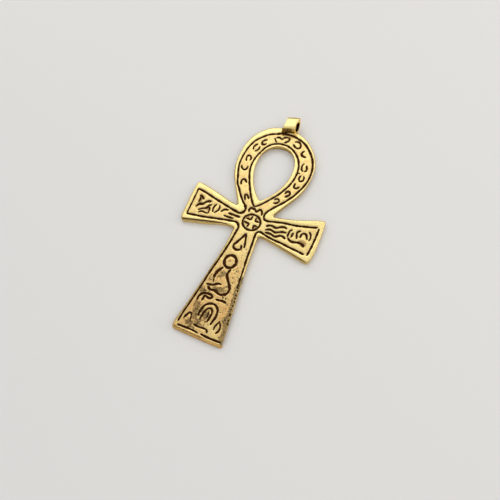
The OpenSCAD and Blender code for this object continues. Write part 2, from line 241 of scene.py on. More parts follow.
def turnedOutward(ring):
    area = sum(a[0] * b[1] - b[0] * a[1] for a, b in zip(ring, ring[1:] + ring[:1]))
    return ring if area > 0 else ring[::-1]


def ringOnPart(outline):
    return turnedOutward([onPart(p) for p in evenLine(outline, plan["ringStep"], True)])


rimRing = ringOnPart(roundedRuns(plan["runs"], plan["cornerSteps"]))
openingRing = ringOnPart(openingLine())[::-1]
print("plan drawn:", len(rimRing), "points on the rim,", len(openingRing), "on the opening")


def ovalLine(x, y, rx, ry, count):
    turns = [math.radians(360 * k / count) for k in range(count + 1)]
    return [(x + rx * math.cos(turn), y + ry * math.sin(turn)) for turn in turns]


# The engraved lines: groups of strokes, each (width, points) in chart mm, or ((width at start, at end), points)
engraving = {
    "borders": {"depth": 0.44, "strokes": [
        (0.4, [(-17.88, -3.6), (-17.85, -1.5), (-17.85, 1), (-17.87, 3.4), (-17.85, 4.4)]),
        (0.52, [(-17.85, 4.4), (-16.3, 4.18), (-14.5, 3.78), (-13, 3.37), (-11, 2.9), (-9, 2.42), (-7, 1.97)]),
        (0.64, [(-7, 1.97), (-5, 1.57), (-4, 1.42), (-3.35, 1.66), (-2.83, 2.25), (-2.7, 2.95), (-2.95, 3.65),
            (-3.5, 4.3)]),
        (0.46, [(-3.5, 4.3), (-4.3, 5), (-5.2, 6), (-6, 7), (-7, 8.4), (-7.9, 9.5), (-8.4, 10.6), (-8.8, 11.8),
            (-9.25, 13), (-9.66, 14.3), (-9.95, 15.6), (-10.03, 17), (-10, 18.3), (-9.87, 19.6), (-9.65, 21),
            (-9.33, 22.15), (-8.92, 23.2), (-8.42, 24.17), (-7.75, 25.03), (-6.88, 25.95), (-5.9, 26.87),
            (-4.75, 27.58), (-3.47, 28.1)]),
        (0.6, [(-3.47, 28.1), (-2.3, 28.6), (-1, 28.9), (0, 29), (1, 29), (2, 28.87), (3, 28.55)]),
        (0.52, [(3, 28.55), (4, 28.23), (5, 27.8), (6, 27.2), (7, 26.3), (8, 25.25), (8.8, 24.22), (9.43, 23.15),
            (9.93, 21.93), (10.27, 20.75), (10.45, 19.5), (10.5, 18), (10.42, 17), (10.25, 16), (9.98, 15),
            (9.65, 14), (9.17, 12.97), (8.75, 11.95), (8.25, 10.97), (7.55, 9.93), (6.9, 8.9), (6.2, 8.05),
            (5.42, 7.08), (4.62, 6.17), (3.92, 5.2), (3.38, 4.45), (3.03, 3.68), (2.95, 3), (3.1, 2.37), (3.6, 1.88),
            (4.5, 1.8), (5.5, 2.03), (7, 2.38), (8.5, 2.73), (10, 2.93), (11.5, 3.1), (13, 3.36), (14.5, 3.73),
            (16, 4.1), (17, 4.37), (17.8, 4.65)]),
        (0.52, [(18.35, 4.3), (18.4, 3.5), (18.4, 2), (18.35, 0.5), (18.3, -1), (18.15, -2.5), (18, -3.7)]),
        (0.52, [(17, -3.8), (15, -3.5), (13, -3.28), (11.5, -3.06), (10, -2.86), (8.5, -2.76), (7, -2.58), (6, -2.4),
            (5, -2.15), (4.3, -1.92), (3.7, -1.87), (3.1, -2.15), (2.85, -2.8), (2.85, -4), (3, -5.5), (3.1, -7),
            (3.2, -8.5), (3.3, -10), (3.45, -11.5), (3.6, -12.7)]),
        ((0.46, 0.2), [(3.6, -12.7), (3.73, -14), (3.82, -15), (3.92, -16.2), (4.04, -17.5), (4.12, -18.6)]),
        (0.52, [(5.8, -33.5), (4.4, -33.47), (3, -33.5), (1.5, -33.43), (0.2, -33.3)]),
        ((0.34, 0.6), [(-0.7, -33.4), (-1.8, -33.2), (-3, -33.15), (-4.8, -33.15), (-6.6, -33.2)]),
        ((0.4, 0.52), [(-6.95, -32.4), (-6.73, -30.5), (-6.53, -29), (-6.22, -27.5), (-5.97, -26), (-5.7, -24.5),
            (-5.45, -23), (-5.2, -21.5), (-4.98, -20), (-4.78, -18.5), (-4.5, -17), (-4.25, -15.5), (-3.95, -14),
            (-3.68, -12.5)]),
        (0.54, [(-3.68, -12.5), (-3.4, -11), (-3.18, -9.5), (-2.93, -8), (-2.75, -6.5), (-2.6, -5), (-2.5, -3.8),
            (-2.4, -3), (-2.6, -2.2), (-3.1, -1.6), (-3.8, -1.35), (-5, -1.5), (-7, -1.85), (-9, -2.25), (-11, -2.65),
            (-13, -3.05), (-15.5, -3.4), (-17.2, -3.65), (-17.8, -3.7)]),
    ]},
    "openingLine": {"depth": 0.4, "strokes": [
        (0.47, [(-0.45, 4.7), (-0.95, 4.8), (-1.45, 5.3), (-2, 6), (-2.7, 7), (-3.3, 8), (-3.85, 9), (-4.35, 10),
            (-4.9, 11), (-5.3, 12), (-5.75, 13), (-6.1, 14), (-6.35, 15), (-6.48, 16), (-6.53, 17), (-6.45, 18),
            (-6.28, 19), (-6.02, 20), (-5.7, 20.87), (-5.33, 21.83), (-4.85, 22.82), (-4.18, 23.72), (-3.22, 24.57),
            (-2.15, 25.1), (-1, 25.4), (0, 25.45), (1, 25.4), (2, 25.07), (3, 24.57), (4, 23.87), (5, 22.87),
            (5.68, 21.87), (6.2, 20.8), (6.52, 19.7), (6.7, 18.5), (6.73, 17.3), (6.62, 16), (6.38, 14.85),
            (5.98, 13.57), (5.48, 12.47), (4.85, 11.25), (4.17, 10.05), (3.43, 9.05), (2.65, 8.05), (1.87, 7.03),
            (1, 6), (0.2, 5.2), (-0.45, 4.7)]),
    ]},
    "medallion": {"depth": 0.38, "strokes": [
        (0.54, ovalLine(0.42, -0.05, 2.5, 2.32, count=36)),
        (0.46, [(-1.45, 0.72), (-0.7, 0.66), (-0.1, 0.7), (0, 1.2), (0.02, 1.75)]),
        (0.44, [(1.3, 1.7), (1.2, 1.2), (1.25, 0.7), (1.85, 0.66), (2.35, 0.7)]),
        (0.5, [(-1.6, -0.4), (-1.2, -0.52), (-0.5, -0.6), (-0.1, -0.72), (-0.15, -1.2), (-0.3, -1.65)]),
        (0.46, [(2.5, -0.75), (2, -0.72), (1.4, -0.7), (1.45, -1.3), (1.42, -1.85)]),
        (0.62, [(-1.55, 2.75), (-1.65, 3.3), (-1.5, 3.8), (-1, 3.98), (-0.4, 3.93), (0, 3.75)]),
        (0.56, [(0, 3.75), (0.3, 3.4), (0.6, 3.2)]),
        (0.52, [(0.6, 3.2), (0.78, 3.65), (1.05, 4.1), (1.4, 4.25), (1.8, 4.0), (2.1, 3.5), (2.2, 2.9)]),
    ]},
    "leftArm": {"depth": 0.34, "strokes": [
        (0.6, [(-16.45, 2.65), (-15.75, 2.47), (-15.05, 1.9)]),
        (0.44, [(-16.3, 2.5), (-16.1, 1.5), (-16.2, 0.6)]),
        ((0.5, 0.75), [(-16.32, -0.95), (-16.05, -0.5), (-15.72, 0.05)]),
        (0.66, [(-15.8, 0.2), (-15.1, 0.27), (-14.55, 0.64), (-14.1, 1.22), (-13.7, 1.65), (-13.1, 1.87),
            (-12.75, 2.02)]),
        (0.44, [(-15.2, -1.6), (-14.5, -0.97), (-13.6, -0.55), (-13.15, 0.05), (-12.75, 0.67), (-12.2, 1)]),
        (0.46, [(-13.6, -0.6), (-13, -0.22), (-12.5, 0.1)]),
        (0.42, [(-12.6, 0.2), (-12.3, -0.3), (-12.17, -0.9), (-12.22, -1.3)]),
        (0.42, [(-14.9, -2.3), (-14.4, -1.8), (-13.8, -1.65), (-13.2, -1.75), (-12.6, -1.75), (-12.1, -1.5)]),
        (0.45, [(-10.9, 1.6), (-11.2, 1.1), (-11.35, 0.4), (-11.3, -0.3), (-11.05, -0.8)]),
        (0.48, [(-10, 1.6), (-9.75, 1), (-9.75, 0.3), (-10, -0.2), (-10.3, -0.6), (-10.5, -0.9)]),
        ((0.6, 0.44), [(-8.85, 0.1), (-8.6, 0.5), (-8.2, 0.9), (-7.8, 1.1), (-7.1, 1.15)]),
        (0.6, [(-6.7, 0.34), (-5, 0.32), (-3.2, 0.28)]),
        (0.5, [(-7.6, -0.77), (-6.3, -0.75), (-4.85, -0.73)]),
    ]},
    "rightArm": {"depth": 0.34, "strokes": [
        (0.56, [(4.7, 0.33), (5.2, 0.65), (5.8, 0.9), (6.5, 0.88), (7.2, 0.72), (7.7, 0.87), (8.2, 1.22), (8.9, 1.57),
            (9.6, 1.68), (10.2, 1.5)]),
        (0.56, [(4.9, -0.8), (5.5, -0.42), (6.2, -0.28), (7, -0.45), (7.7, -0.55), (8.3, -0.3), (9, 0.05),
            (9.7, 0.27), (10.5, 0.33)]),
        (0.56, [(5.1, -1.5), (5.8, -1.4), (6.6, -1.42), (7.2, -1.57), (7.9, -1.73), (8.5, -1.5), (9.1, -1.05),
            (9.7, -0.92), (10.3, -1.07), (10.75, -1.35)]),
        (0.52, [(11.7, 1.7), (11.3, 1.3), (11.2, 0.7), (11.15, 0.1), (11.2, -0.5)]),
        (0.54, [(12.3, 0.9), (12.22, 0.3), (12.15, -0.35)]),
        (0.54, [(13.9, 2.15), (13.5, 1.8), (13.25, 1.3), (13.35, 0.7), (13.6, 0.2), (13.65, -0.2)]),
        (0.52, [(14.5, 0.4), (14.5, 1.1), (14.8, 1.65), (15.3, 1.85), (15.8, 1.6), (16.1, 1.1), (16.4, 0.5)]),
        (0.44, [(16.3, 2.65), (16.8, 2.2), (17.05, 1.6), (17.15, 0.9), (17, 0.35)]),
        (0.6, [(11.5, -0.9), (12.15, -1.38), (13, -1.5), (13.8, -1.35), (14.5, -1.2), (15.2, -1.2)]),
        ((0.6, 0.85), [(15.2, -1.2), (15.75, -1.4), (16.2, -1.72)]),
    ]},
    "loop": {"depth": 0.34, "strokes": [
        (0.5, [(-3.9, 5.6), (-4.3, 6.3), (-4.5, 7), (-4.1, 7.3), (-3.6, 6.9), (-3.1, 6.3)]),
        (0.5, [(-6.88, 9.75), (-7.18, 10.42), (-7.05, 11.3), (-6.5, 11.5), (-6.1, 11.2), (-5.7, 10.8)]),
        (0.46, [(-9.1, 15.3), (-8.85, 14.75), (-8.35, 14.37), (-7.8, 14.3), (-7.4, 14.7), (-7.27, 15.2),
            (-7.35, 15.65)]),
        (0.44, [(-8.4, 17.2), (-8.7, 17.7), (-8.75, 18.4), (-8.5, 18.9), (-8.1, 19), (-7.65, 18.7), (-7.42, 18.2),
            (-7.5, 17.7)]),
        (0.46, [(-7.4, 23.2), (-7.8, 22.8), (-8.1, 22.2), (-8.1, 21.6), (-7.9, 21.3)]),
        (0.5, [(-6.5, 22.55), (-6.47, 21.95), (-6.77, 21.32), (-7.25, 20.9)]),
        (0.52, [(-5.4, 25.4), (-5.9, 25.1), (-6.3, 24.6), (-6.4, 24.1), (-6.1, 23.6), (-5.6, 23.65), (-5.1, 24.1)]),
        (0.34, [(-3.4, 26.6), (-3.1, 26.2), (-2.8, 25.8), (-2.4, 25.5)]),
        (0.46, [(-3, 26.95), (-2.5, 27.2), (-2, 27.2), (-1.5, 26.95), (-1.2, 27.05), (-1, 27.52), (-0.5, 27.88),
            (0, 28.08)]),
        (0.5, [(0.42, 27.95), (0.75, 27.6), (0.7, 27.07), (0.4, 26.7), (0.05, 26.3), (-0.25, 26.18)]),
        (0.46, [(2.4, 26.4), (2.7, 26.1), (3.2, 25.75), (3.8, 25.55), (4.3, 25.65), (4.6, 26.2), (4.5, 26.8),
            (4.1, 27.35), (3.6, 27.6), (3, 27.52), (2.6, 27.32)]),
        (0.56, [(6.1, 25.3), (5.8, 24.8), (5.7, 24.3), (6, 23.85), (6.6, 23.65), (7.2, 23.6)]),
        (0.42, [(7.5, 21.5), (7.25, 20.9), (7.3, 20.1), (7.6, 19.5), (8, 19.2)]),
        (0.5, [(8.37, 21.1), (8.7, 20.6), (8.85, 20.1), (8.8, 19.62), (8.5, 19.3)]),
        (0.48, [(8.08, 17.75), (7.85, 17.2), (7.88, 16.55), (8.18, 16.15)]),
        (0.46, [(8.85, 17.7), (9.15, 17.2), (9.1, 16.5), (8.7, 16.1), (8.3, 16)]),
        (0.52, [(7.42, 14.88), (7.38, 14.27), (7.45, 13.8), (7.93, 13.6), (8.42, 13.8), (8.8, 14.3)]),
        (0.58, [(5.9, 11.2), (6.1, 11.7), (6.5, 12), (7, 11.9), (7.2, 11.3), (6.9, 10.8), (6.3, 10.2)]),
        (0.46, [(3.85, 8.4), (4.15, 8.78), (4.6, 8.92), (5, 8.68), (5.15, 8.25), (4.88, 7.8), (4.42, 7.5),
            (3.95, 7.42)]),
        (0.28, [(7, 18.3), (7.4, 18.2)]),
    ]},
    "leg": {"depth": 0.36, "strokes": [
        (0.6, [(0.38, -3.7), (0.2, -4), (-0.2, -5), (-0.7, -6), (-1.13, -6.9), (-1.52, -7.6), (-1.6, -8.05),
            (-1.2, -8.57), (-0.55, -8.8), (0, -8.75), (0.57, -8.4), (0.68, -7.85), (0.45, -7.3)]),
        (0.48, [(0.52, -3.9), (0.8, -5), (1.07, -6), (1.3, -6.9), (1.42, -7.6)]),
        (0.72, ovalLine(-0.52, -12.52, 1.62, 1.8, count=28)),
        (0.78, [(-1.8, -14.8), (-2.2, -15.42), (-2.6, -16.12), (-2.83, -16.9), (-2.9, -17.6), (-2.85, -18.1)]),
        (0.26, [(-2.85, -18.1), (-2.7, -18.8), (-2.6, -19.3)]),
        (0.66, [(0.45, -14.7), (0.2, -15.6), (0.2, -16.35), (0.65, -17.15), (1.27, -17.98), (1.88, -18.78),
            (2.3, -19.55), (2.38, -20.3), (2.17, -21.05), (1.6, -21.6), (0.8, -21.87), (0, -21.82), (-0.75, -21.5),
            (-1.5, -21.4), (-2.2, -21.5), (-2.8, -21.4), (-3.3, -21)]),
        (0.58, [(-4, -20.42), (-3.3, -20.33), (-2.5, -20.2), (-1.9, -19.88), (-1.4, -19.52), (-0.8, -19.25),
            (-0.3, -19.3)]),
        (0.6, [(-4.6, -25.2), (-4.6, -24.45), (-4.27, -23.7), (-3.85, -23.2), (-3.25, -22.92), (-2.6, -22.8),
            (-1.9, -22.77), (-1.2, -23), (-1.05, -23.4), (-1.4, -23.7), (-2, -23.8), (-2.6, -23.65), (-3.1, -23.5)]),
        (0.54, [(-3.2, -23.7), (-3.2, -24.4), (-3.35, -25.1)]),
        (0.58, [(0.2, -23.5), (1, -23.42), (1.8, -23.3), (2.6, -23.35), (2.95, -23.5)]),
        (0.3, [(1.5, -22.2), (1.7, -22.5)]),
        (0.28, [(2.45, -22.4), (2.55, -22.45)]),
        (0.56, [(-2.6, -29), (-2.55, -28), (-2.38, -27), (-2.12, -26.25), (-1.62, -25.58), (-0.95, -25.1),
            (-0.2, -24.87), (0.6, -24.95), (1.22, -25.35), (1.75, -26), (1.97, -27), (1.97, -28), (1.75, -29),
            (1.5, -30.1)]),
        (0.5, [(-1.7, -29.9), (-1.6, -29), (-1.5, -28), (-1.27, -27.25), (-0.9, -26.6), (-0.37, -26.22),
            (0.15, -26.3), (0.52, -26.75), (0.65, -27.4), (0.6, -28.2), (0.47, -29.2), (0.32, -29.8)]),
        (0.22, [(-0.2, -27.2), (-0.18, -28), (-0.15, -28.9)]),
        (0.3, [(-0.12, -29.95), (-0.08, -30.1)]),
        (0.6, [(-5.75, -30.7), (-5.42, -30), (-5.02, -29.3), (-4.65, -29.05)]),
        (0.36, [(-4.65, -29.05), (-4.37, -29.4), (-4.2, -30), (-4, -30.7)]),
        (0.42, [(3.5, -28.5), (3.3, -29), (3, -29.7), (2.8, -30.4), (2.8, -31.1)]),
        (0.46, [(3.7, -28.9), (4.1, -29.6), (4.25, -30.3), (4.1, -31.1), (3.7, -31.8)]),
        (0.46, [(-2.7, -31.65), (-1.7, -31.77), (-0.8, -31.77), (0, -31.7), (0.8, -31.7), (1.3, -31.95),
            (1.45, -32.4)]),
    ]},
    "pits": {"depth": 0.16, "strokes": [
        (0.2, [(3.5, -23.78), (3.5, -23.82)]), (0.28, [(2.6, -26.28), (2.6, -26.32)]),
        (0.16, [(2.2, -7.88), (2.2, -7.92)]), (0.16, [(1.35, -14.58), (1.35, -14.62)]),
        (0.24, [(2.2, -14.48), (2.22, -14.52)]), (0.16, [(2.1, -15.28), (2.1, -15.32)]),
        (0.18, [(3, -15.98), (3, -16.02)]), (0.16, [(2, -16.68), (2, -16.72)]),
        (0.18, [(2.5, -17.88), (2.5, -17.92)]), (0.26, [(3.7, -16.1), (3.7, -16.2)]),
        (0.2, [(3.9, -17.1), (3.92, -17.2)]), (0.3, [(4.3, -18.45), (4.32, -18.55)]),
        (0.34, [(4.5, -19.1), (4.5, -19.3)]), (0.3, [(4.6, -20.5), (4.62, -20.7)]),
        (0.3, [(4.7, -21.35), (4.7, -21.45)]), (0.34, [(4.9, -22.2), (4.9, -22.4)]),
        (0.36, [(5, -23.3), (5, -23.6)]), (0.28, [(4.9, -24.45), (4.9, -24.55)]),
        (0.36, [(5.2, -25.7), (5.2, -26.1)]), (0.3, [(5.4, -27.4), (5.4, -27.6)]),
        (0.38, [(4.6, -27.65), (4.62, -27.75)]), (0.34, [(5.7, -28.3), (5.7, -28.6)]),
    ]},
}
# How the lines were cut: uneven in width, a little broader than charted and tapered at their ends.
# rows: where rows of mesh points lie beside a line, in half widths; capTurns: degrees round its ends.
hand = {"seed": 7, "unevenWidth": 0.13, "waves": (2.2, 3.4), "broader": 1.08, "taper": 0.35, "taperedTo": 0.62,
        "alongStep": 0.14, "rows": [0, 0.5, 0.8, 1.1, 1.5, 2.1], "capTurns": (-50, 0, 50)}


def strokeTracks():
    rng = random.Random(hand["seed"])
    tracks = []
    for group in engraving.values():
        for width, points in group["strokes"]:
            line = evenLine(smoothLine([onPart(p) for p in points]), hand["alongStep"])
            start, end = width if isinstance(width, tuple) else (width, width)
            phase, wave = rng.uniform(0, 6.3), rng.uniform(*hand["waves"])
            halves = []
            for i in range(len(line)):
                wide = (start + (end - start) * i / (len(line) - 1)) * hand["broader"]
                fromEnd = min(i, len(line) - 1 - i) * hand["alongStep"] / hand["taper"]
                if len(line) > 4:  # pits keep their width
                    wide *= hand["taperedTo"] + (1 - hand["taperedTo"]) * min(1, fromEnd)
                along = i * hand["alongStep"] * wave
                uneven = math.sin(phase + along) + 0.5 * math.sin(2 * phase + 2.7 * along)
                halves.append(wide / 2 * (1 + hand["unevenWidth"] * uneven))
            tracks.append({"line": line, "halves": halves, "depth": group["depth"]})
    return tracks


tracks = strokeTracks()
print("engraving drawn:", len(tracks), "strokes")


# The field is what lies inside the border lines, and the rim is what lies outside
borderLoop = [onPart(p) for _, points in engraving["borders"]["strokes"] for p in points]
openingLoop = [onPart(p) for p in engraving["openingLine"]["strokes"][0][1]]

# Wear, stains, painted sheen and painted shade, in chart mm. The leg's right edge is worn down to a slope between two
# lines (y, x).
# Stains and painted sheen are clouds (x, y, half width, half height, strength); painted edge and seam shade are boxes
# (x from, to, y from, to, strength).
age = {
    "slopeFrom": [(-15.0, 4.0), (-19.3, 3.57), (-23.9, 4.2), (-27, 4.3), (-30.2, 4.8), (-33, 5.35), (-35, 5.8)],
    "slopeTo": [(-15.0, 4.6), (-19.3, 5.0), (-23.9, 5.55), (-27, 5.95), (-30.2, 6.2), (-33, 6.45), (-35, 6.6)],
    "slopeStarts": (-14.6, -18.0), "slopeEnds": (-34.2, -32.6), "slopeBeyond": 3, "slopeBloom": (0.12, 0.68, 0.26),
    "olive": [
        (-4.2, -22.4, 1.1, 1.0, 0.85), (-3.1, -21.9, 1.0, 0.6, 0.6), (-4.0, -26.6, 1.1, 1.5, 0.8),
        (-3.4, -28.6, 1.1, 1.9, 1.0), (-4.0, -31.6, 1.3, 0.9, 0.85), (-3, -32.5, 1.2, 0.6, 0.7),
        (-0.9, -16.4, 1.0, 1.0, 0.85), (-1.6, -17.5, 0.6, 1.0, 0.5), (0.3, -20.6, 1.5, 0.75, 0.95),
        (-1.2, -20.7, 1.0, 0.5, 0.7), (1.2, -19.6, 0.7, 0.8, 0.5), (-1.9, -30.6, 1.0, 1.0, 0.9),
        (-0.4, -28.4, 0.8, 1.5, 0.8), (-0.6, -30.8, 1.3, 0.7, 0.55), (-2.1, -27.6, 0.4, 1.7, 0.7),
        (1.1, -30.2, 0.5, 1.0, 0.4), (5.4, -32.6, 0.7, 1.0, 0.7), (4.4, -27.8, 0.7, 0.9, 0.8),
        (-3.6, -18.6, 0.7, 1.3, 0.6), (3.6, -16.3, 0.5, 1.1, 0.5), (-5.6, -30.9, 0.5, 0.6, 0.55),
        (16, -1.3, 0.9, 0.5, 0.4), (-15.7, 1.2, 0.7, 1.1, 0.65), (-15.9, 0.5, 0.5, 0.8, 0.5),
        (1.9, -12.7, 0.7, 1.2, 0.3), (-3.0, -34.0, 3.0, 0.25, 0.5), (-6.9, -33.7, 0.8, 0.8, 0.5),
        # the last two clouds on the next line lie under the bail's front and are painted shadow
        (6.1, -33.6, 0.6, 0.6, 0.6), (-1.3, 29.9, 0.9, 0.55, 1.0), (0.2, 30.1, 0.9, 0.5, 1.0),
    ],
    "pitted": [(2.4, -11.5, 1.4, 4.5, 0.8), (2.9, -17.5, 1.3, 3.5, 1.0), (0.8, -8.0, 1.6, 2.5, 0.4),
               (3.6, -24.0, 0.8, 3.0, 0.9), (4.9, -22.0, 0.7, 4.0, 1.0), (5.5, -29.0, 0.7, 4.0, 1.0),
               (-3.6, -30.8, 1.6, 1.5, 0.5), (3.6, 7.2, 1.6, 1.6, 0.4),
               (-9.2, 12.0, 0.8, 2.5, 0.3), (12.5, -0.5, 4.0, 2.0, 0.35), (-13.5, -1.2, 3.0, 2.0, 0.4)],
    # clouds of painted sheen, where reflected light makes the skin paler and less warm
    "paintedSheen": [(10, -0.4, 8.5, 3.6, 0.65), (0, 0, 3.6, 3.8, 0.65), (2.4, -20.0, 1.2, 3.0, 0.4),
               (2.6, -31.6, 2.4, 2.2, 0.6), (1.6, -8.0, 1.5, 3.0, 0.4), (-14.0, 2.4, 2.0, 1.2, 0.4)],
    "brown": [
        (-0.6, -12.35, 0.5, 0.5, 0.9), (15.6, -0.9, 1.3, 0.9, 1.0), (14.2, 0.1, 0.8, 0.9, 0.5),
        (16.2, -1.7, 0.7, 0.6, 0.9), (-15.6, 2.0, 0.7, 0.9, 0.7), (-12.9, -0.6, 0.8, 0.7, 0.8),
        (-14.9, -1.2, 1.1, 0.5, 0.5), (0.6, 28.1, 0.7, 0.6, 0.7), (1.6, 28.2, 0.9, 0.5, 0.5),
        (1.05, -8.4, 0.4, 0.5, 0.7), (-4.4, -25.4, 0.6, 0.6, 0.8), (-2.6, -19.2, 0.5, 0.7, 0.6),
        (-4.0, -30.9, 0.6, 0.6, 0.8), (1.4, -32.3, 0.6, 0.5, 0.8), (3.5, -23.8, 0.5, 0.5, 0.8),
        (2.2, -14.6, 1.3, 1.2, 0.5), (2.4, -17.0, 1.2, 1.5, 0.5), (2.6, -22.4, 1.3, 0.8, 0.5),
        (2.1, -9.2, 1.0, 1.6, 0.35), (-0.4, 2.6, 1.2, 0.7, 0.5), (-1.0, 1.2, 0.5, 0.4, 0.9),
        (1.75, 1.05, 0.35, 0.3, 0.9), (-0.8, -1.1, 0.45, 0.4, 0.7), (2.0, -1.3, 0.4, 0.4, 0.9),
        (4.6, 0.9, 1.0, 0.8, 0.45), (-5.3, -23.6, 0.4, 1.6, 0.4), (3.2, -25.4, 1.2, 1.0, 0.35),
        (-1.2, 4.4, 1.5, 0.5, 0.5), (-4.9, -21.8, 0.5, 1.0, 0.4), (2.4, -30.4, 0.9, 1.0, 0.4),
        (-0.7, -28.4, 1.1, 2.0, 0.6), (-2.9, -26.6, 0.6, 0.9, 0.7), (-1.4, -20.2, 0.6, 0.8, 0.6),
        (-16.3, 3.0, 0.6, 0.6, 0.6), (-15.2, 2.9, 0.5, 0.4, 0.6), (-11.5, -2.2, 1.2, 0.3, 0.4),
    ],
    # edges turned from the light, painted olive as shade with some dark patina
    "edgeShadeAndPatinaBoxes": [(2.8, 11.8, 3.2, 17.5, 0.5), (-8.2, -2.9, -33.4, -3.2, 0.6), (4.8, 7.4, -33.8, -15.0, 0.7),
                  (-11.8, -8.4, 9.5, 26.0, 0.5), (4.0, 6.4, -22.3, -16.5, 0.6)],
    # a painted dark line of shade and dark reflection along the seam under the arms
    "seamShades": [(-18.9, -5.2, -6.2, -1.4, 1.0), (4.4, 19.0, -6.6, -2.2, 0.7)],
    "edgeShadeAndPatinaFade": 1.0, "seamShadeFade": 0.7,
}


def between(pairs, y):
    for (ya, xa), (yb, xb) in zip(pairs, pairs[1:]):
        if yb <= y <= ya:
            return xa + (xb - xa) * (y - ya) / (yb - ya)
    return pairs[0][1] if y > pairs[0][0] else pairs[-1][1]


def eased(t):
    t = max(0.0, min(1.0, t))
    return t * t * (3 - 2 * t)


def wornShare(x, y):
    top, low = age["slopeStarts"]
    if y > top or x < age["slopeBeyond"]:
        return 0.0
    a, b = between(age["slopeFrom"], y), between(age["slopeTo"], y)
    foot, full = age["slopeEnds"]
    return max(0.0, min(1.0, (x - a) / (b - a))) * eased((top - y) / (top - low)) * eased((y - foot) / (full - foot))


# A cloud is full to a third of its size and gone at five thirds
def cloudsAt(clouds, x, y):
    return max(strength * eased(1.25 - 0.75 * math.hypot((x - cx) / rx, (y - cy) / ry))
               for cx, cy, rx, ry, strength in clouds)


def bloomAt(x, y):
    worn = wornShare(x, y)
    fadeIn, full, fadeOut = age["slopeBloom"]
    return max(cloudsAt(age["olive"], x, y), eased(worn / fadeIn) * (1 - eased((worn - full) / fadeOut)))


# How strongly a list of boxes marks a point, eased off over fade mm inside their borders
def boxesAt(boxes, x, y, fade):
    return max(level * eased((x - x0) / fade) * eased((x1 - x) / fade) * eased((y - y0) / fade) * eased((y1 - y) / fade)
               for x0, x1, y0, y1, level in boxes)


def edgeMarks(x, y):
    return {"edgeShadeAndPatina": boxesAt(age["edgeShadeAndPatinaBoxes"], x, y, age["edgeShadeAndPatinaFade"]),
            "seamShade": boxesAt(age["seamShades"], x, y, age["seamShadeFade"])}


# The flat blank that the lines are cut into. wall: rings of points below an edge, as (share of its height, inset).
blank = {
    "rimRadius": 0.45, "crispRadius": 0.26, "openingRadius": 0.18, "bevel": 0.45, "bevelFrom": -33.5,
    "edgeRows": [0.03, 0.08, 0.16, 0.26, 0.38, 0.52], "fill": 0.36, "fillGap": 0.62, "gap": 0.06,
    "wall": [(0.97, 0.0), (0.93, 0.0), (0.75, 0.0), (0.55, 0.0), (0.3, 0.0), (0.11, 0.06), (0.03, 0.16), (0.0, 0.3)],
    "draft": 0.05, "sideDraft": -0.45, "openingLacquerAndShade": 0.2,
    "footFrom": -33, "footFacing": -0.3, "footRun": 0.44, "footInset": 0.3,
    "backCell": 1.0, "backFill": 1.1, "backGap": 0.75,
}

# The casting's lower flash stands out under the arms, from and below a height:
# (x from, x to, run at from, run at to, eased in over, eased out over)
flash = {"arms": [(-19.0, -5.8, 0.52, 0.5, 0.6, 6.0), (4.6, 18.9, 0.02, 0.3, 0.6, 1.5)],
         "low": -7, "high": -1.9, "facing": 0.75, "from": 1.31, "full": 1.26}


def atFoot(y, ny):
    return y < blank["footFrom"] and ny < blank["footFacing"]


# How far the wall runs out beyond its edge at height z, for an edge point and its direction, in chart mm
def runOut(x, y, nx, ny, z, wallTop):
    down = 1 - z / wallTop
    if atFoot(y, ny):
        return blank["footRun"] * -ny * min(1, 1.5 * down)
    run = (blank["draft"] + (blank["sideDraft"] - blank["draft"]) * eased((abs(nx) - 0.3) / 0.4)) * down
    if -ny > flash["facing"] and flash["low"] < y < flash["high"]:
        step = eased((flash["from"] - z) / (flash["from"] - flash["full"]))
        for x0, x1, run0, run1, easeIn, easeOut in flash["arms"]:
            if x0 < x < x1:
                ends = eased((x - x0) / easeIn) * eased((x1 - x) / easeOut)
                ledge = (run0 + (run1 - run0) * (x - x0) / (x1 - x0)) * step * ends
                run += ledge * eased((-ny - flash["facing"]) / 0.2)
    return run


def ringNormals(ring):
    out = []
    n = len(ring)
    for i in range(n):
        a, b = ring[i - 1], ring[(i + 1) % n]
        dx, dy = b[0] - a[0], b[1] - a[1]
        length = math.hypot(dx, dy)
        out.append((dy / length, -dx / length))  # away from the metal
    return out


# Edges are sorted into bands of height, and the loose fill lies in rows, this many steps apart
bandHeight, rowHeight = 0.5, 0.866


# Which edges cross each band, so that a point is tested against a few of them only
def crossings(rings):
    bands = {}
    for ring in rings:
        for a, b in zip(ring, ring[1:] + ring[:1]):
            for band in range(int(min(a[1], b[1]) // bandHeight), int(max(a[1], b[1]) // bandHeight) + 1):
                bands.setdefault(band, []).append((a, b))
    return bands


def isInside(x, y, bands):
    inside = False
    for (ax, ay), (bx, by) in bands.get(int(y // bandHeight), ()):
        if (ay > y) != (by > y) and x < ax + (y - ay) / (by - ay) * (bx - ax):
            inside = not inside
    return inside


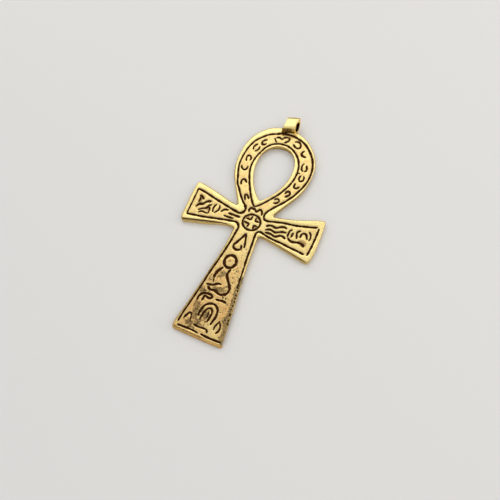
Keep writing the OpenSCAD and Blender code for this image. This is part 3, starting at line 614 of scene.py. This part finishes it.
# Points no closer to each other than a gap, all of them on the metal
class PointField:
    def __init__(self, cell, rings):
        self.cell, self.cells, self.points, self.rings = cell, {}, [], []
        rings = [[tuple(Vector(p)) for p in ring] for ring in rings]  # as the triangulation sees them
        self.bands = crossings(rings)
        for ring in rings:
            self.rings.append(range(len(self.points), len(self.points) + len(ring)))
            for p in ring:
                self.keep(p)

    def keep(self, p):
        self.cells.setdefault((p[0] // self.cell, p[1] // self.cell), []).append(p)
        self.points.append(p)

    def add(self, p, gap):
        if not isInside(*p, self.bands):
            return
        reach = int(gap / self.cell) + 1
        cx, cy = p[0] // self.cell, p[1] // self.cell
        for ix in range(-reach, reach + 1):
            for iy in range(-reach, reach + 1):
                for q in self.cells.get((cx + ix, cy + iy), ()):
                    if math.dist(p, q) < gap:
                        return
        self.keep(p)

    def fill(self, step, gap):
        xs, ys = [p[0] for p in self.points], [p[1] for p in self.points]
        y, shift = min(ys), 0
        while y < max(ys):
            x = min(xs) + shift
            while x < max(xs):
                self.add((x, y), gap)
                x += step
            y += step * rowHeight
            shift = step / 2 - shift

    def triangles(self):
        edges = [(r[i], r[(i + 1) % len(r)]) for r in self.rings for i in range(len(r))]
        found = delaunay_2d_cdt([Vector(p) for p in self.points], edges, [], 1, 1e-7, True)
        source = [o[0] for o in found[3]]
        faces = []
        for f in found[2]:
            f = [source[i] for i in f]
            a, b, c = (self.points[i] for i in f)
            if not isInside((a[0] + b[0] + c[0]) / 3, (a[1] + b[1] + c[1]) / 3, self.bands):
                continue
            if (b[0] - a[0]) * (c[1] - a[1]) < (b[1] - a[1]) * (c[0] - a[0]):
                f.reverse()
            faces.append(f)
        return faces


# Rows beside every line and inside every edge, and a loose fill between them
def facePoints():
    field = PointField(blank["gap"], (rimRing, openingRing))
    for ring in (rimRing, openingRing):
        normals = ringNormals(ring)
        for inset in blank["edgeRows"]:
            for (x, y), (nx, ny) in zip(ring, normals):
                field.add((x - nx * inset, y - ny * inset), min(blank["gap"], inset * 0.7))
    for share in hand["rows"]:
        for track in tracks:
            line = track["line"]
            last = len(line) - 1
            for i, (x, y) in enumerate(line):
                if share == 0:
                    field.add((x, y), blank["gap"])
                    continue
                a, b = line[max(i - 1, 0)], line[min(i + 1, last)]
                dx, dy = b[0] - a[0], b[1] - a[1]
                length = math.hypot(dx, dy) or 1
                dx, dy, w = dx / length, dy / length, track["halves"][i] * share
                for way in (-1, 1):
                    field.add((x - dy * w * way, y + dx * w * way), blank["gap"])
                if i in (0, last):
                    out = -1 if i == 0 else 1
                    for turn in hand["capTurns"]:
                        c, s = math.cos(math.radians(turn)), math.sin(math.radians(turn))
                        field.add((x + out * w * (dx * c - dy * s), y + out * w * (dy * c + dx * s)), blank["gap"])
    field.fill(blank["fill"], blank["fill"] * blank["fillGap"])
    return field


# The blank in three steps: its face, the walls in rings below both edges, and the plain back
class Blank:
    def __init__(self):
        self.top = chart["plateTop"]
        self.vertices, self.faces = [], []
        self.marks = {name: [] for name in ("onFace", "rim", "worn", "bloom", "brown", "paintedSheen", "pitted", "edgeShadeAndPatina",
                                            "seamShade", "wall", "lacquer")}

    def mark(self, **values):
        for name, column in self.marks.items():
            column.append(values.get(name, 0.0))

    def addFace(self, field):
        inField, inOpeningRim = crossings([borderLoop]), crossings([openingLoop])
        onEdges = sum(len(r) for r in field.rings)
        for i, (x, y) in enumerate(field.points):
            at = onChart(x, y)
            self.vertices.append((x, y, self.top))
            self.mark(onFace=1.0, wall=1.0 if i < onEdges else 0.0, worn=wornShare(*at), bloom=bloomAt(*at),
                      rim=0.0 if isInside(x, y, inField) and not isInside(x, y, inOpeningRim) else 1.0,
                      **{name: cloudsAt(age[name], *at) for name in ("brown", "paintedSheen", "pitted")}, **edgeMarks(*at))
        self.faces += field.triangles()

    # Hangs a wall from an edge, and gives its lowest ring
    def addWall(self, ring, above, radius, lacquer=0.0):
        normals, n = ringNormals(ring), len(ring)
        wallTop = self.top - radius
        for share, inset in blank["wall"]:
            start, z = len(self.vertices), share * wallTop
            for (x, y), (nx, ny) in zip(ring, normals):
                cx, cy = onChart(x, y)
                out = runOut(cx, cy, nx, ny, z, wallTop) - inset * (blank["footInset"] if atFoot(cy, ny) else 1)
                self.vertices.append((x + nx * out, y + ny * out, z))
                self.mark(rim=1.0, wall=1.0 if z > 0 else 0.0, lacquer=lacquer if z > 0 else 0.0, **edgeMarks(cx, cy))
            below = range(start, start + n)
            for i in range(n):
                j = (i + 1) % n
                self.faces.append([above[i], below[i], below[j], above[j]])
            above = below
        return above

    def addBack(self, rings):
        field = PointField(blank["backCell"], [[self.vertices[i][:2] for i in r] for r in rings])
        index = [i for r in rings for i in r]
        field.fill(blank["backFill"], blank["backGap"])
        for p in field.points[len(index):]:
            index.append(len(self.vertices))
            self.vertices.append((*p, 0.0))
            self.mark(rim=1.0)
        self.faces += [[index[i] for i in reversed(f)] for f in field.triangles()]

    def mesh(self):
        mesh = markedMesh("plateBlank", self.vertices, [], self.faces, self.marks)
        mesh.validate()
        return mesh


def blankMesh():
    field, made = facePoints(), Blank()
    made.addFace(field)
    rim, opening = field.rings
    made.addBack([made.addWall(rimRing, rim, blank["rimRadius"]),
                  made.addWall(openingRing, opening, blank["openingRadius"], blank["openingLacquerAndShade"])])
    return made.mesh()


# Lines without faces, for the node tree to measure distances to, with a value per point under each name
def lineObject(name, lines, closed, values):
    vertices, edges = [], []
    for line in lines:
        start = len(vertices)
        vertices += [(x, y, 0.0) for x, y in line]
        edges += [(start + i, start + i + 1) for i in range(len(line) - 1)]
        if closed:
            edges.append((start + len(line) - 1, start))
    return placed(name, markedMesh(name, vertices, edges, [], values))


# The rim is crisper along the loop's right side and under the arms than elsewhere
def rimRadii():
    radii = []
    for (x, y), (nx, ny) in zip(rimRing, ringNormals(rimRing)):
        cy = y - chart["up"]
        loopRight = eased((nx - 0.1) / 0.4) * eased((cy - 8) / 6)
        underArm = eased((-ny - 0.75) / 0.2) * eased((cy + 7) / 0.5) * eased((-1.5 - cy) / 0.4)
        radii.append(blank["rimRadius"] + (blank["crispRadius"] - blank["rimRadius"]) * max(loopRight, underArm))
    return radii


# The foot's edge is bevelled instead of rounded, most of all at its left
def bevelAt(x, y):
    return eased((blank["bevelFrom"] - y + chart["up"]) / 0.5) * (0.15 + 0.85 * eased((2 - x) / 2))


blankObject = placed("plateBlank", blankMesh())
edgeObject = lineObject("edgeLines", [rimRing, openingRing], True, {
    "radius": [r * mm for r in rimRadii()] + [blank["openingRadius"] * mm] * len(openingRing),
    "bevel": [bevelAt(x, y) for x, y in rimRing + openingRing]})
strokeObject = lineObject("engravedLines", [t["line"] for t in tracks], False, {
    "halfWidth": [h * mm for t in tracks for h in t["halves"]],
    "cutDepth": [t["depth"] * mm for t in tracks for _ in t["line"]]})
print("blank made:", len(blankObject.data.vertices), "points,", len(blankObject.data.polygons), "faces")


# Cuts the lines into the blank, rounds its edges and keeps the distances for the patina, the painted highlights beside
# the lines and the painted edge shade
def engravingTree():
    tree = bpy.data.node_groups.new("engraveFace", "GeometryNodeTree")
    kinds = {"Blank": "Geometry", "Lines": "Object", "Edges": "Object", "Finish": "Material"}
    for name in ("Blank", "Lines", "Edges", "Plate Top", "Bevel Width", "Lip", "Lip Drop", "Lip Reach", "Worn Drop",
                 "Waviness", "Wave Size", "Seed", "Finish"):
        tree.interface.new_socket(name=name, in_out="INPUT", socket_type="NodeSocket" + kinds.get(name, "Float"))
    tree.interface.new_socket(name="Engraved", in_out="OUTPUT", socket_type="NodeSocketGeometry")
    sheet = Sheet(tree)
    given = sheet.add("NodeGroupInput").outputs
    place = sheet.add("ShaderNodeSeparateXYZ", None, [sheet.add("GeometryNodeInputPosition").outputs[0]])
    flat = sheet.add("ShaderNodeCombineXYZ", None, [place.outputs[0], place.outputs[1], 0.0])

    def drawn(name):
        return sheet.add("GeometryNodeObjectInfo", None, {"Object": given[name]}).outputs["Geometry"]

    def distanceTo(geometry):
        return sheet.value(sheet.add("GeometryNodeProximity", {"target_element": "EDGES"},
                                     {0: geometry, "Sample Position": flat.outputs[0]}), "Distance")

    def marked(name):
        return sheet.value(sheet.add("GeometryNodeInputNamedAttribute", {"data_type": "FLOAT"}, {"Name": name}))

    # A value kept on the nearest point of the drawn lines
    def atNearest(name, geometry):
        nearest = sheet.add("GeometryNodeSampleNearest", {"domain": "POINT"},
                            {"Geometry": geometry, "Sample Position": flat.outputs[0]}).outputs[0]
        return sheet.value(sheet.add("GeometryNodeSampleIndex", {"data_type": "FLOAT", "domain": "POINT"},
                                     {"Geometry": geometry, "Value": marked(name), "Index": nearest}))

    def noise(size, detail):
        return sheet.value(sheet.add("ShaderNodeTexNoise", {"noise_dimensions": "4D"},
                                     {"Vector": flat.outputs[0], "W": given["Seed"], "Scale": size,
                                      "Detail": detail, "Roughness": 0.5}))

    lines, edges = drawn("Lines"), drawn("Edges")
    toLine, toEdge = distanceTo(lines), distanceTo(edges)
    half, depth = atNearest("halfWidth", lines), atNearest("cutDepth", lines)
    radius, bevel = atNearest("radius", edges), atNearest("bevel", edges)
    lip, waviness, waveSize = (Value(sheet, given[name]) for name in ("Lip", "Waviness", "Wave Size"))
    groove = 1 - toLine.ramp(half * 0.35, half + lip)  # flat for a third, then up to the lip
    softLip = 1 - (toLine - half).ramp(0.0, Value(sheet, given["Lip Reach"]))
    fall = (1 - toEdge / radius).highest(0.0)
    slant = (1 - toEdge / Value(sheet, given["Bevel Width"])).highest(0.0)
    rounded = 1 - (1 - fall * fall).highest(0.0).root()
    bead = radius * (rounded + (slant - rounded) * bevel)
    worn = marked("worn")
    rough = noise(waveSize * 4.5, 3.0) - 0.35
    height = (Value(sheet, given["Plate Top"]) - bead - groove * depth - softLip * Value(sheet, given["Lip Drop"])
              + (noise(waveSize, 1.5) - 0.8) * waviness
              - worn * (1 - fall) * Value(sheet, given["Worn Drop"]) * (1 + rough * 1.4))
    moved = sheet.add("ShaderNodeCombineXYZ", None, [place.outputs[0], place.outputs[1], height])
    geometry = sheet.add("GeometryNodeSetPosition", None,
                         {"Geometry": given["Blank"], "Selection": marked("onFace"),
                          "Position": moved.outputs[0]}).outputs[0]
    lacquered = marked("onFace").highest(marked("wall"))  # the back stays plain
    for name, value in (("near", (1 - (toLine - half) / mm).highest(0.0) * lacquered), ("edge", toEdge / mm)):
        geometry = sheet.add("GeometryNodeStoreNamedAttribute", {"data_type": "FLOAT", "domain": "POINT"},
                             {"Geometry": geometry, "Name": name, "Value": value}).outputs[0]
    geometry = sheet.add("GeometryNodeRealizeInstances", None, {"Geometry": geometry}).outputs[0]
    geometry = sheet.add("GeometryNodeSetMaterial", None,
                         {"Geometry": geometry, "Material": given["Finish"]}).outputs[0]
    sheet.add("NodeGroupOutput", None, [geometry])
    return tree


# Antique gold: a pale worn skin, dark lacquer in the lines, brown smudges and a mottled olive bloom, with painted
# highlights and painted sheen, and painted shade on the edges, side walls, lower leg, under the bail and in its bore
gold = {
    "pale": (0.96, 0.76, 0.32, 1), "field": (0.9, 0.71, 0.3, 1), "warm": (0.86, 0.52, 0.19, 1),
    "tan": (0.5, 0.28, 0.1, 1), "brown": (0.3, 0.14, 0.05, 1), "olive": (0.2, 0.15, 0.065, 1),
    "crust": (0.09, 0.06, 0.025, 1), "lacquer": (0.085, 0.028, 0.009, 1), "bore": (0.01, 0.005, 0.003, 1),
    "glancing": (1.0, 0.74, 0.42, 1),
    "polished": 0.25, "satin": 0.36,
}


def goldMaterial():
    material = bpy.data.materials.new("antiqueGold")
    sheet = emptySheet(material)
    mix = sheet.mix
    place = sheet.add("ShaderNodeTexCoord").outputs["Object"]
    inMm = sheet.add("ShaderNodeVectorMath", {"operation": "SCALE"}, {0: place, "Scale": 1000.0}).outputs[0]
    split = sheet.add("ShaderNodeSeparateXYZ", None, [inMm])
    along, height = sheet.value(split, "Y"), sheet.value(split, "Z")

    def noise(scale, detail, roughness, distortion=0.0):
        return sheet.value(sheet.add("ShaderNodeTexNoise", {"noise_dimensions": "3D"},
                                     {"Vector": inMm, "Scale": scale, "Detail": detail, "Roughness": roughness,
                                      "Distortion": distortion}))

    def marked(name):
        return sheet.value(sheet.add("ShaderNodeAttribute", {"attribute_name": name}), "Fac")

    near, edge, rim, wall = marked("near"), marked("edge"), marked("rim"), marked("wall")
    bloom, brown, lacquer = marked("bloom"), marked("brown"), marked("lacquer")
    mottle, speck, grain, broad = noise(1.15, 4, 0.6, 0.4), noise(2.6, 2, 0.55), noise(5.5, 3, 0.6), noise(0.2, 2, 0.5)
    field, cloudy = 1 - rim, mottle.ramp(0.42, 0.66)
    lowLeg = 1 - along.ramp(-26.0, -4.0)  # the leg is painted darker and warmer towards its foot as shade, and gathers more residue and pits there
    ragged = near + (grain - 0.5) * 0.1 + (speck - 0.5) * 0.12
    ink = ragged.ramp(0.92, 1.06)
    # a painted highlight along both lips of every line
    lipHighlight = ragged.ramp(0.6, 0.84) * (1 - ragged.ramp(0.88, 0.98))
    residue = ragged.ramp(0.45, 1.0) * cloudy * (0.2 + lowLeg * 0.6)
    warmth = field * (cloudy * 0.5 + speck.ramp(0.5, 0.66) * 0.4) + lowLeg * 0.75 + (broad - 0.5) * 0.5

    # the clean skin: paler on the rims, warmer in clouds, with a painted highlight beside the lines and painted sheen
    # in clouds
    skin = mix(field * 0.85, gold["pale"], gold["field"])
    skin = mix((warmth - marked("paintedSheen") * 0.5).clamped(), skin, gold["warm"])
    paintedSheen = marked("paintedSheen") * field
    blot = (speck * 0.55 + mottle * 0.3 + grain * 0.15).ramp(0.5, 0.6) * (0.12 + lowLeg * 0.5)
    skin = mix(blot * field * (1 - paintedSheen), skin, gold["tan"])
    skin = mix((grain.ramp(0.56, 0.7) * (0.14 + field * 0.16) + residue).clamped(), skin, gold["tan"])
    skin = mix((lipHighlight * 0.65).highest(paintedSheen), skin, gold["pale"])

    # edges and side walls: painted shade as a tan line along every outer edge, olive on the shaded edges and on the
    # side walls below the rim, and a painted dark line of shade at the seam above the flash
    skin = mix((1 - edge.ramp(0.02, 0.18)) * (1 - wall * 0.4) * 0.3, skin, gold["tan"])
    skin = mix(marked("edgeShadeAndPatina") * (1 - edge.ramp(0.1, 0.5)) * 0.8, skin, gold["olive"])
    sideShade = wall * (1 - height.ramp(1.0, 1.25)) * (1 - lacquer)
    seamShade = marked("seamShade") * height.ramp(1.285, 1.3) * (1 - height.ramp(1.68, 1.74)) * (1 - edge.ramp(0.14, 0.22))
    skin = mix(sideShade * (0.3 + mottle.ramp(0.4, 0.7) * 0.35) * (1 - marked("seamShade") * 0.8), skin, gold["olive"])

    # pits, smudges and crusted bloom, with the bail's hollow painted dark as shadow, then the dark lacquer over all: in
    # the lines, in the painted seam shade, as patina and painted shade on the opening's wall, and as painted black
    # shade in the bail's bore
    cells = sheet.add("ShaderNodeTexVoronoi", {"feature": "F1"}, {"Vector": inMm, "Scale": 1.7, "Randomness": 1.0})
    chosen = sheet.value(sheet.add("ShaderNodeSeparateColor", None, [cells.outputs["Color"]]), "Red")
    pitSize = (lowLeg * field * 0.35 + marked("pitted")) * 0.42 * chosen.ramp(0.3, 0.9)
    pits = 1 - sheet.value(cells, "Distance").ramp(pitSize * 0.6, pitSize + 0.001)
    smudge = (brown + (speck - 0.5) * 0.8 + (grain - 0.5) * 0.5).ramp(0.3, 0.95) * brown.ramp(0.02, 0.2)
    stain = bloom + (mottle - 0.5) * 0.9 + (speck - 0.5) * 0.9 + (grain - 0.5) * 0.9
    patch = stain.ramp(0.32, 0.75) * bloom.ramp(0.02, 0.2)
    skin = mix(smudge * 0.75, skin, gold["brown"])
    crust = patch * (0.55 + speck.ramp(0.4, 0.6) * 0.45)
    skin = mix(crust * 0.95, skin, mix(grain.ramp(0.4, 0.6) * 0.65 + 0.2, gold["olive"], gold["crust"]))
    skin = mix(pits * 0.85, skin, gold["brown"])
    dark = ink.highest(seamShade * 0.92).highest(lacquer)
    # the bail's bore, fully marked, goes near black: painted shade
    color = mix(lacquer.ramp(0.6, 0.95), mix(dark, skin, gold["lacquer"]), gold["bore"])

    rough = (gold["polished"] + field * (gold["satin"] - gold["polished"]) + (mottle - 0.5) * 0.16
             + grain.ramp(0.5, 0.8) * 0.1 + patch * 0.15 + dark * 0.2)
    bump = sheet.add("ShaderNodeBump", None, {"Strength": 0.8, "Distance": 0.00006,
                                              "Height": mottle * 0.5 + speck * 0.4 + grain * 0.4 + patch * grain})
    shader = sheet.add("ShaderNodeBsdfPrincipled", None,
                       {"Base Color": color, "Roughness": rough.clamped(), "Metallic": 1.0,
                        "Specular Tint": gold["glancing"], "Normal": bump.outputs[0]})
    sheet.add("ShaderNodeOutputMaterial", None, {"Surface": shader.outputs[0]})
    return material


goldFinish = goldMaterial()
cutter = {"Lines": strokeObject, "Edges": edgeObject, "Plate Top": chart["plateTop"] * mm,
          "Bevel Width": blank["bevel"] * mm, "Lip": 0.05 * mm, "Lip Drop": 0.05 * mm, "Lip Reach": 0.3 * mm,
          "Worn Drop": 0.45 * mm, "Waviness": 0.09 * mm, "Wave Size": 260.0, "Seed": 3.0, "Finish": goldFinish}


def engraved(target, tree, values):
    modifier = target.modifiers.new("engrave", "NODES")
    modifier.node_group = tree
    for item in tree.interface.items_tree:
        if item.in_out == "INPUT" and item.name in values:
            modifier[item.identifier] = values[item.name]
    target.update_tag()
    mesh = changedMesh(target)
    target.modifiers.remove(modifier)
    return mesh


plateMesh = engraved(blankObject, engravingTree(), cutter)
print("face engraved:", len(plateMesh.vertices), "points")

# The bail: a flat-fronted band turned round its bore, which widens into the crown; where it meets the crown its hollow
# is painted dark as shadow.
# Angles run from the top (0) over the front (90) to the crown (180) and the back (270).
bail = {"centre": (-0.02, 31.85, 2.2), "bore": 1.32, "wall": 0.88, "edge": 0.18, "crown": 0.04, "square": 5.0,
        "left": [(0, -1.66), (95, -1.68), (185, -2.3), (300, -1.66), (360, -1.66)],
        "right": [(0, 1.72), (45, 1.7), (95, 1.44), (150, 1.55), (185, 1.6), (270, 1.76), (360, 1.72)],
        "tilt": 0.25, "hollow": 0.2, "hollowAt": -0.6, "hollowWidth": 1.7,
        "hollowFrom": 128, "hollowTo": 146, "hollowEnd": 230, "turns": 144, "across": 24}


def sideAt(pairs, angle):
    for (a, xa), (b, xb) in zip(pairs, pairs[1:]):
        if a <= angle <= b:
            return xa + (xb - xa) * eased((angle - a) / (b - a))


# Points round one corner of the band's section, from (degrees, darkness) pairs; the darkness is painted shade for the
# bore
def bandCorner(x, r, turns):
    e = bail["edge"]
    return [(x + e * math.cos(math.radians(a)), r + e * math.sin(math.radians(a)), 0, dark) for a, dark in turns]


# The section of the band at an angle, as (across, radius, painted shadow in the hollow, painted shade of the bore):
# outer face, right edge, bore, left edge
def bandSection(angle, outer):
    left, right = sideAt(bail["left"], angle), sideAt(bail["right"], angle)
    pinch = eased((angle - bail["hollowFrom"]) / (bail["hollowTo"] - bail["hollowFrom"]))
    if angle >= bail["hollowEnd"]:
        pinch = 0
    e, inner = bail["edge"], bail["bore"]
    top = outer - bail["crown"] - e
    section = []
    for step in range(bail["across"] + 1):
        t = step / bail["across"]
        x = left + e + (right - left - 2 * e) * t
        hollow = pinch * eased(2.4 * (1 - abs(x - bail["hollowAt"]) / bail["hollowWidth"]))
        section.append((x, outer - bail["crown"] * (2 * t - 1) ** 2 - bail["hollow"] * hollow, hollow, 0))
    section += bandCorner(right - e, top, [(60, 0), (30, 0), (0, 0)])
    section += bandCorner(right - e, inner + e, [(0, 0), (-45, 1), (-90, 1)])
    section += [(right + (left - right) * t, inner, 0, 1) for t in (0.3, 0.5, 0.7)]
    section += bandCorner(left + e, inner + e, [(-90, 1), (-135, 1), (-180, 0)])
    section += bandCorner(left + e, top, [(180, 0), (150, 0), (120, 0)])
    return section, right


def bailMesh():
    cx, cy = onPart(bail["centre"][:2])
    cz = bail["centre"][2]
    bm = bmesh.new()
    marks = {name: bm.verts.layers.float.new(name) for name in ("bloom", "lacquer")}
    rings = []
    for k in range(bail["turns"]):
        angle = 360 * k / bail["turns"]
        c, s = math.cos(math.radians(angle)), math.sin(math.radians(angle))
        power = bail["square"] if angle < 180 else 2
        outer = (bail["bore"] + bail["wall"]) / (abs(c) ** power + abs(s) ** power) ** (1 / power)
        section, right = bandSection(angle, outer)
        ring = []
        for x, r, bloom, lacquer in section:
            lower = bail["tilt"] * min(0, x - right)
            v = bm.verts.new(((cx + x) * mm, (cy + r * c + lower) * mm, (cz + r * s) * mm))
            v[marks["bloom"]], v[marks["lacquer"]] = bloom, lacquer
            ring.append(v)
        rings.append(ring)
    for a, b in zip(rings, rings[1:] + rings[:1]):
        for i in range(len(a)):
            j = (i + 1) % len(a)
            bm.faces.new((a[i], a[j], b[j], b[i]))
    bmesh.ops.recalc_face_normals(bm, faces=bm.faces)
    mesh = bpy.data.meshes.new("bailBand")
    bm.to_mesh(mesh)
    bm.free()
    plain = {"rim": 1.0, "edge": 2.0}  # the plate's other marks are 0 on the bail
    storeMarks(mesh, {name: [plain.get(name, 0.0)] * len(mesh.vertices) for name in (
        "rim", "edge", "near", "wall", "worn", "onFace", "brown", "paintedSheen", "pitted", "edgeShadeAndPatina", "seamShade")})
    mesh.materials.append(goldFinish)
    return mesh


plateObject, bailObject = placed("pendantCasting", plateMesh), placed("bailBand", bailMesh())


def joined(base, other):
    union = base.modifiers.new("castOn", "BOOLEAN")
    union.operation, union.object, union.solver = "UNION", other, "MANIFOLD"
    mesh = changedMesh(base)
    base.modifiers.remove(union)
    return mesh


castMesh = joined(plateObject, bailObject)
for name in ("onFace", "worn"):
    castMesh.attributes.remove(castMesh.attributes[name])
castMesh.shade_smooth()
plateObject.data = castMesh
castMesh.name = "pendantCasting"
for spent in (blankObject, edgeObject, strokeObject, bailObject):
    bpy.data.objects.remove(spent, do_unlink=True)
print("bail cast on:", len(castMesh.vertices), "points,",
      sum(len(p.vertices) - 2 for p in castMesh.polygons), "triangles")

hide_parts("pendant")
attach(plateObject, "root")


# Studio: a pale table, a broad softbox beyond the bail, cards to its sides and in front, a small fill,
# and a room that is dim along its walls
studio = {"tableSize": 3.0, "tableHeight": -0.00002, "tableColor": (0.95, 0.945, 0.93, 1), "tableRoughness": 0.6,
          "ceiling": (0.72, 0.73, 0.74, 1), "walls": (0.13, 0.085, 0.05, 1), "wallTop": 0.18, "ceilingFrom": 0.85}
lights = {
    "softbox": {"at": (-0.15, 0.34, 0.46), "size": (0.42, 0.3), "power": 0.42, "color": (1.0, 0.98, 0.94)},
    "sideCard": {"at": (-0.5, 0.3, 0.24), "size": (0.16, 0.3), "power": 0.25, "color": (1.0, 0.98, 0.95)},
    "rightCard": {"at": (0.42, 0.26, 0.24), "size": (0.36, 0.34), "power": 0.6, "color": (1.0, 0.97, 0.92)},
    "frontCard": {"at": (-0.1, -0.42, 0.28), "size": (0.42, 0.25), "power": 0.13, "color": (1.0, 0.97, 0.92)},
    "fill": {"at": (0.45, -0.3, 0.4), "size": (0.3, 0.3), "power": 0.12, "color": (0.97, 0.98, 1.0)},
}


def tableMaterial():
    material = bpy.data.materials.new("paleTable")
    sheet = emptySheet(material)
    shader = sheet.add("ShaderNodeBsdfPrincipled", None, {"Base Color": studio["tableColor"],
                                                          "Roughness": studio["tableRoughness"]})
    sheet.add("ShaderNodeOutputMaterial", None, {"Surface": shader.outputs[0]})
    return material


def setStudio():
    half, z = studio["tableSize"] / 2, studio["tableHeight"]
    mesh = bpy.data.meshes.new("table")
    mesh.from_pydata([(-half, -half, z), (half, -half, z), (half, half, z), (-half, half, z)], [], [(0, 1, 2, 3)])
    mesh.materials.append(tableMaterial())
    placed("table", mesh)
    for name, lamp in lights.items():
        data = bpy.data.lights.new(name, "AREA")
        data.shape = "RECTANGLE"
        data.size, data.size_y = lamp["size"]
        data.energy, data.color = lamp["power"], lamp["color"]
        light = placed(name, data)
        light.location = lamp["at"]
        light.rotation_euler = (-Vector(lamp["at"])).to_track_quat("-Z", "Y").to_euler()
    world = bpy.data.worlds.new("room")
    bpy.context.scene.world = world
    sheet = emptySheet(world)
    up = sheet.value(sheet.add("ShaderNodeSeparateXYZ", None, [sheet.add("ShaderNodeTexCoord").outputs["Generated"]]),
                     "Z")
    seen = sheet.value(sheet.add("ShaderNodeLightPath"), "Is Camera Ray")
    lightness = up.ramp(studio["wallTop"], studio["ceilingFrom"]).highest(seen)
    backdrop = sheet.add("ShaderNodeBackground", None, {
        "Color": sheet.mix(lightness, studio["walls"], studio["ceiling"])})
    sheet.add("ShaderNodeOutputWorld", None, {"Surface": backdrop.outputs[0]})
    bpy.context.scene.view_settings.view_transform = "Standard"


# The camera, worked out from the photograph: its place in chart mm over the face, and two of its directions
view = {"place": (37.80, -47.17, 135.38), "right": (0.91398, 0.38752, -0.12029), "up": (-0.32856, 0.88078, 0.341),
        "lens": 38.88, "sensor": 36.0, "clip": (0.005, 20)}


def setCamera():
    data = bpy.data.cameras.new("camera")
    data.sensor_width, data.lens = view["sensor"], view["lens"]
    data.clip_start, data.clip_end = view["clip"]
    camera = placed("camera", data)
    right = Vector(view["right"]).normalized()
    up = Vector(view["up"])
    up = (up - right * up.dot(right)).normalized()
    back = right.cross(up)
    x, y = onPart(view["place"][:2])
    turn = Matrix((right, up, back)).transposed().to_4x4()
    camera.matrix_world = Matrix.Translation(Vector((x, y, view["place"][2] + chart["plateTop"])) * mm) @ turn
    bpy.context.scene.camera = camera


setStudio()
setCamera()
bpy.context.view_layer.update()
print("scene ready")
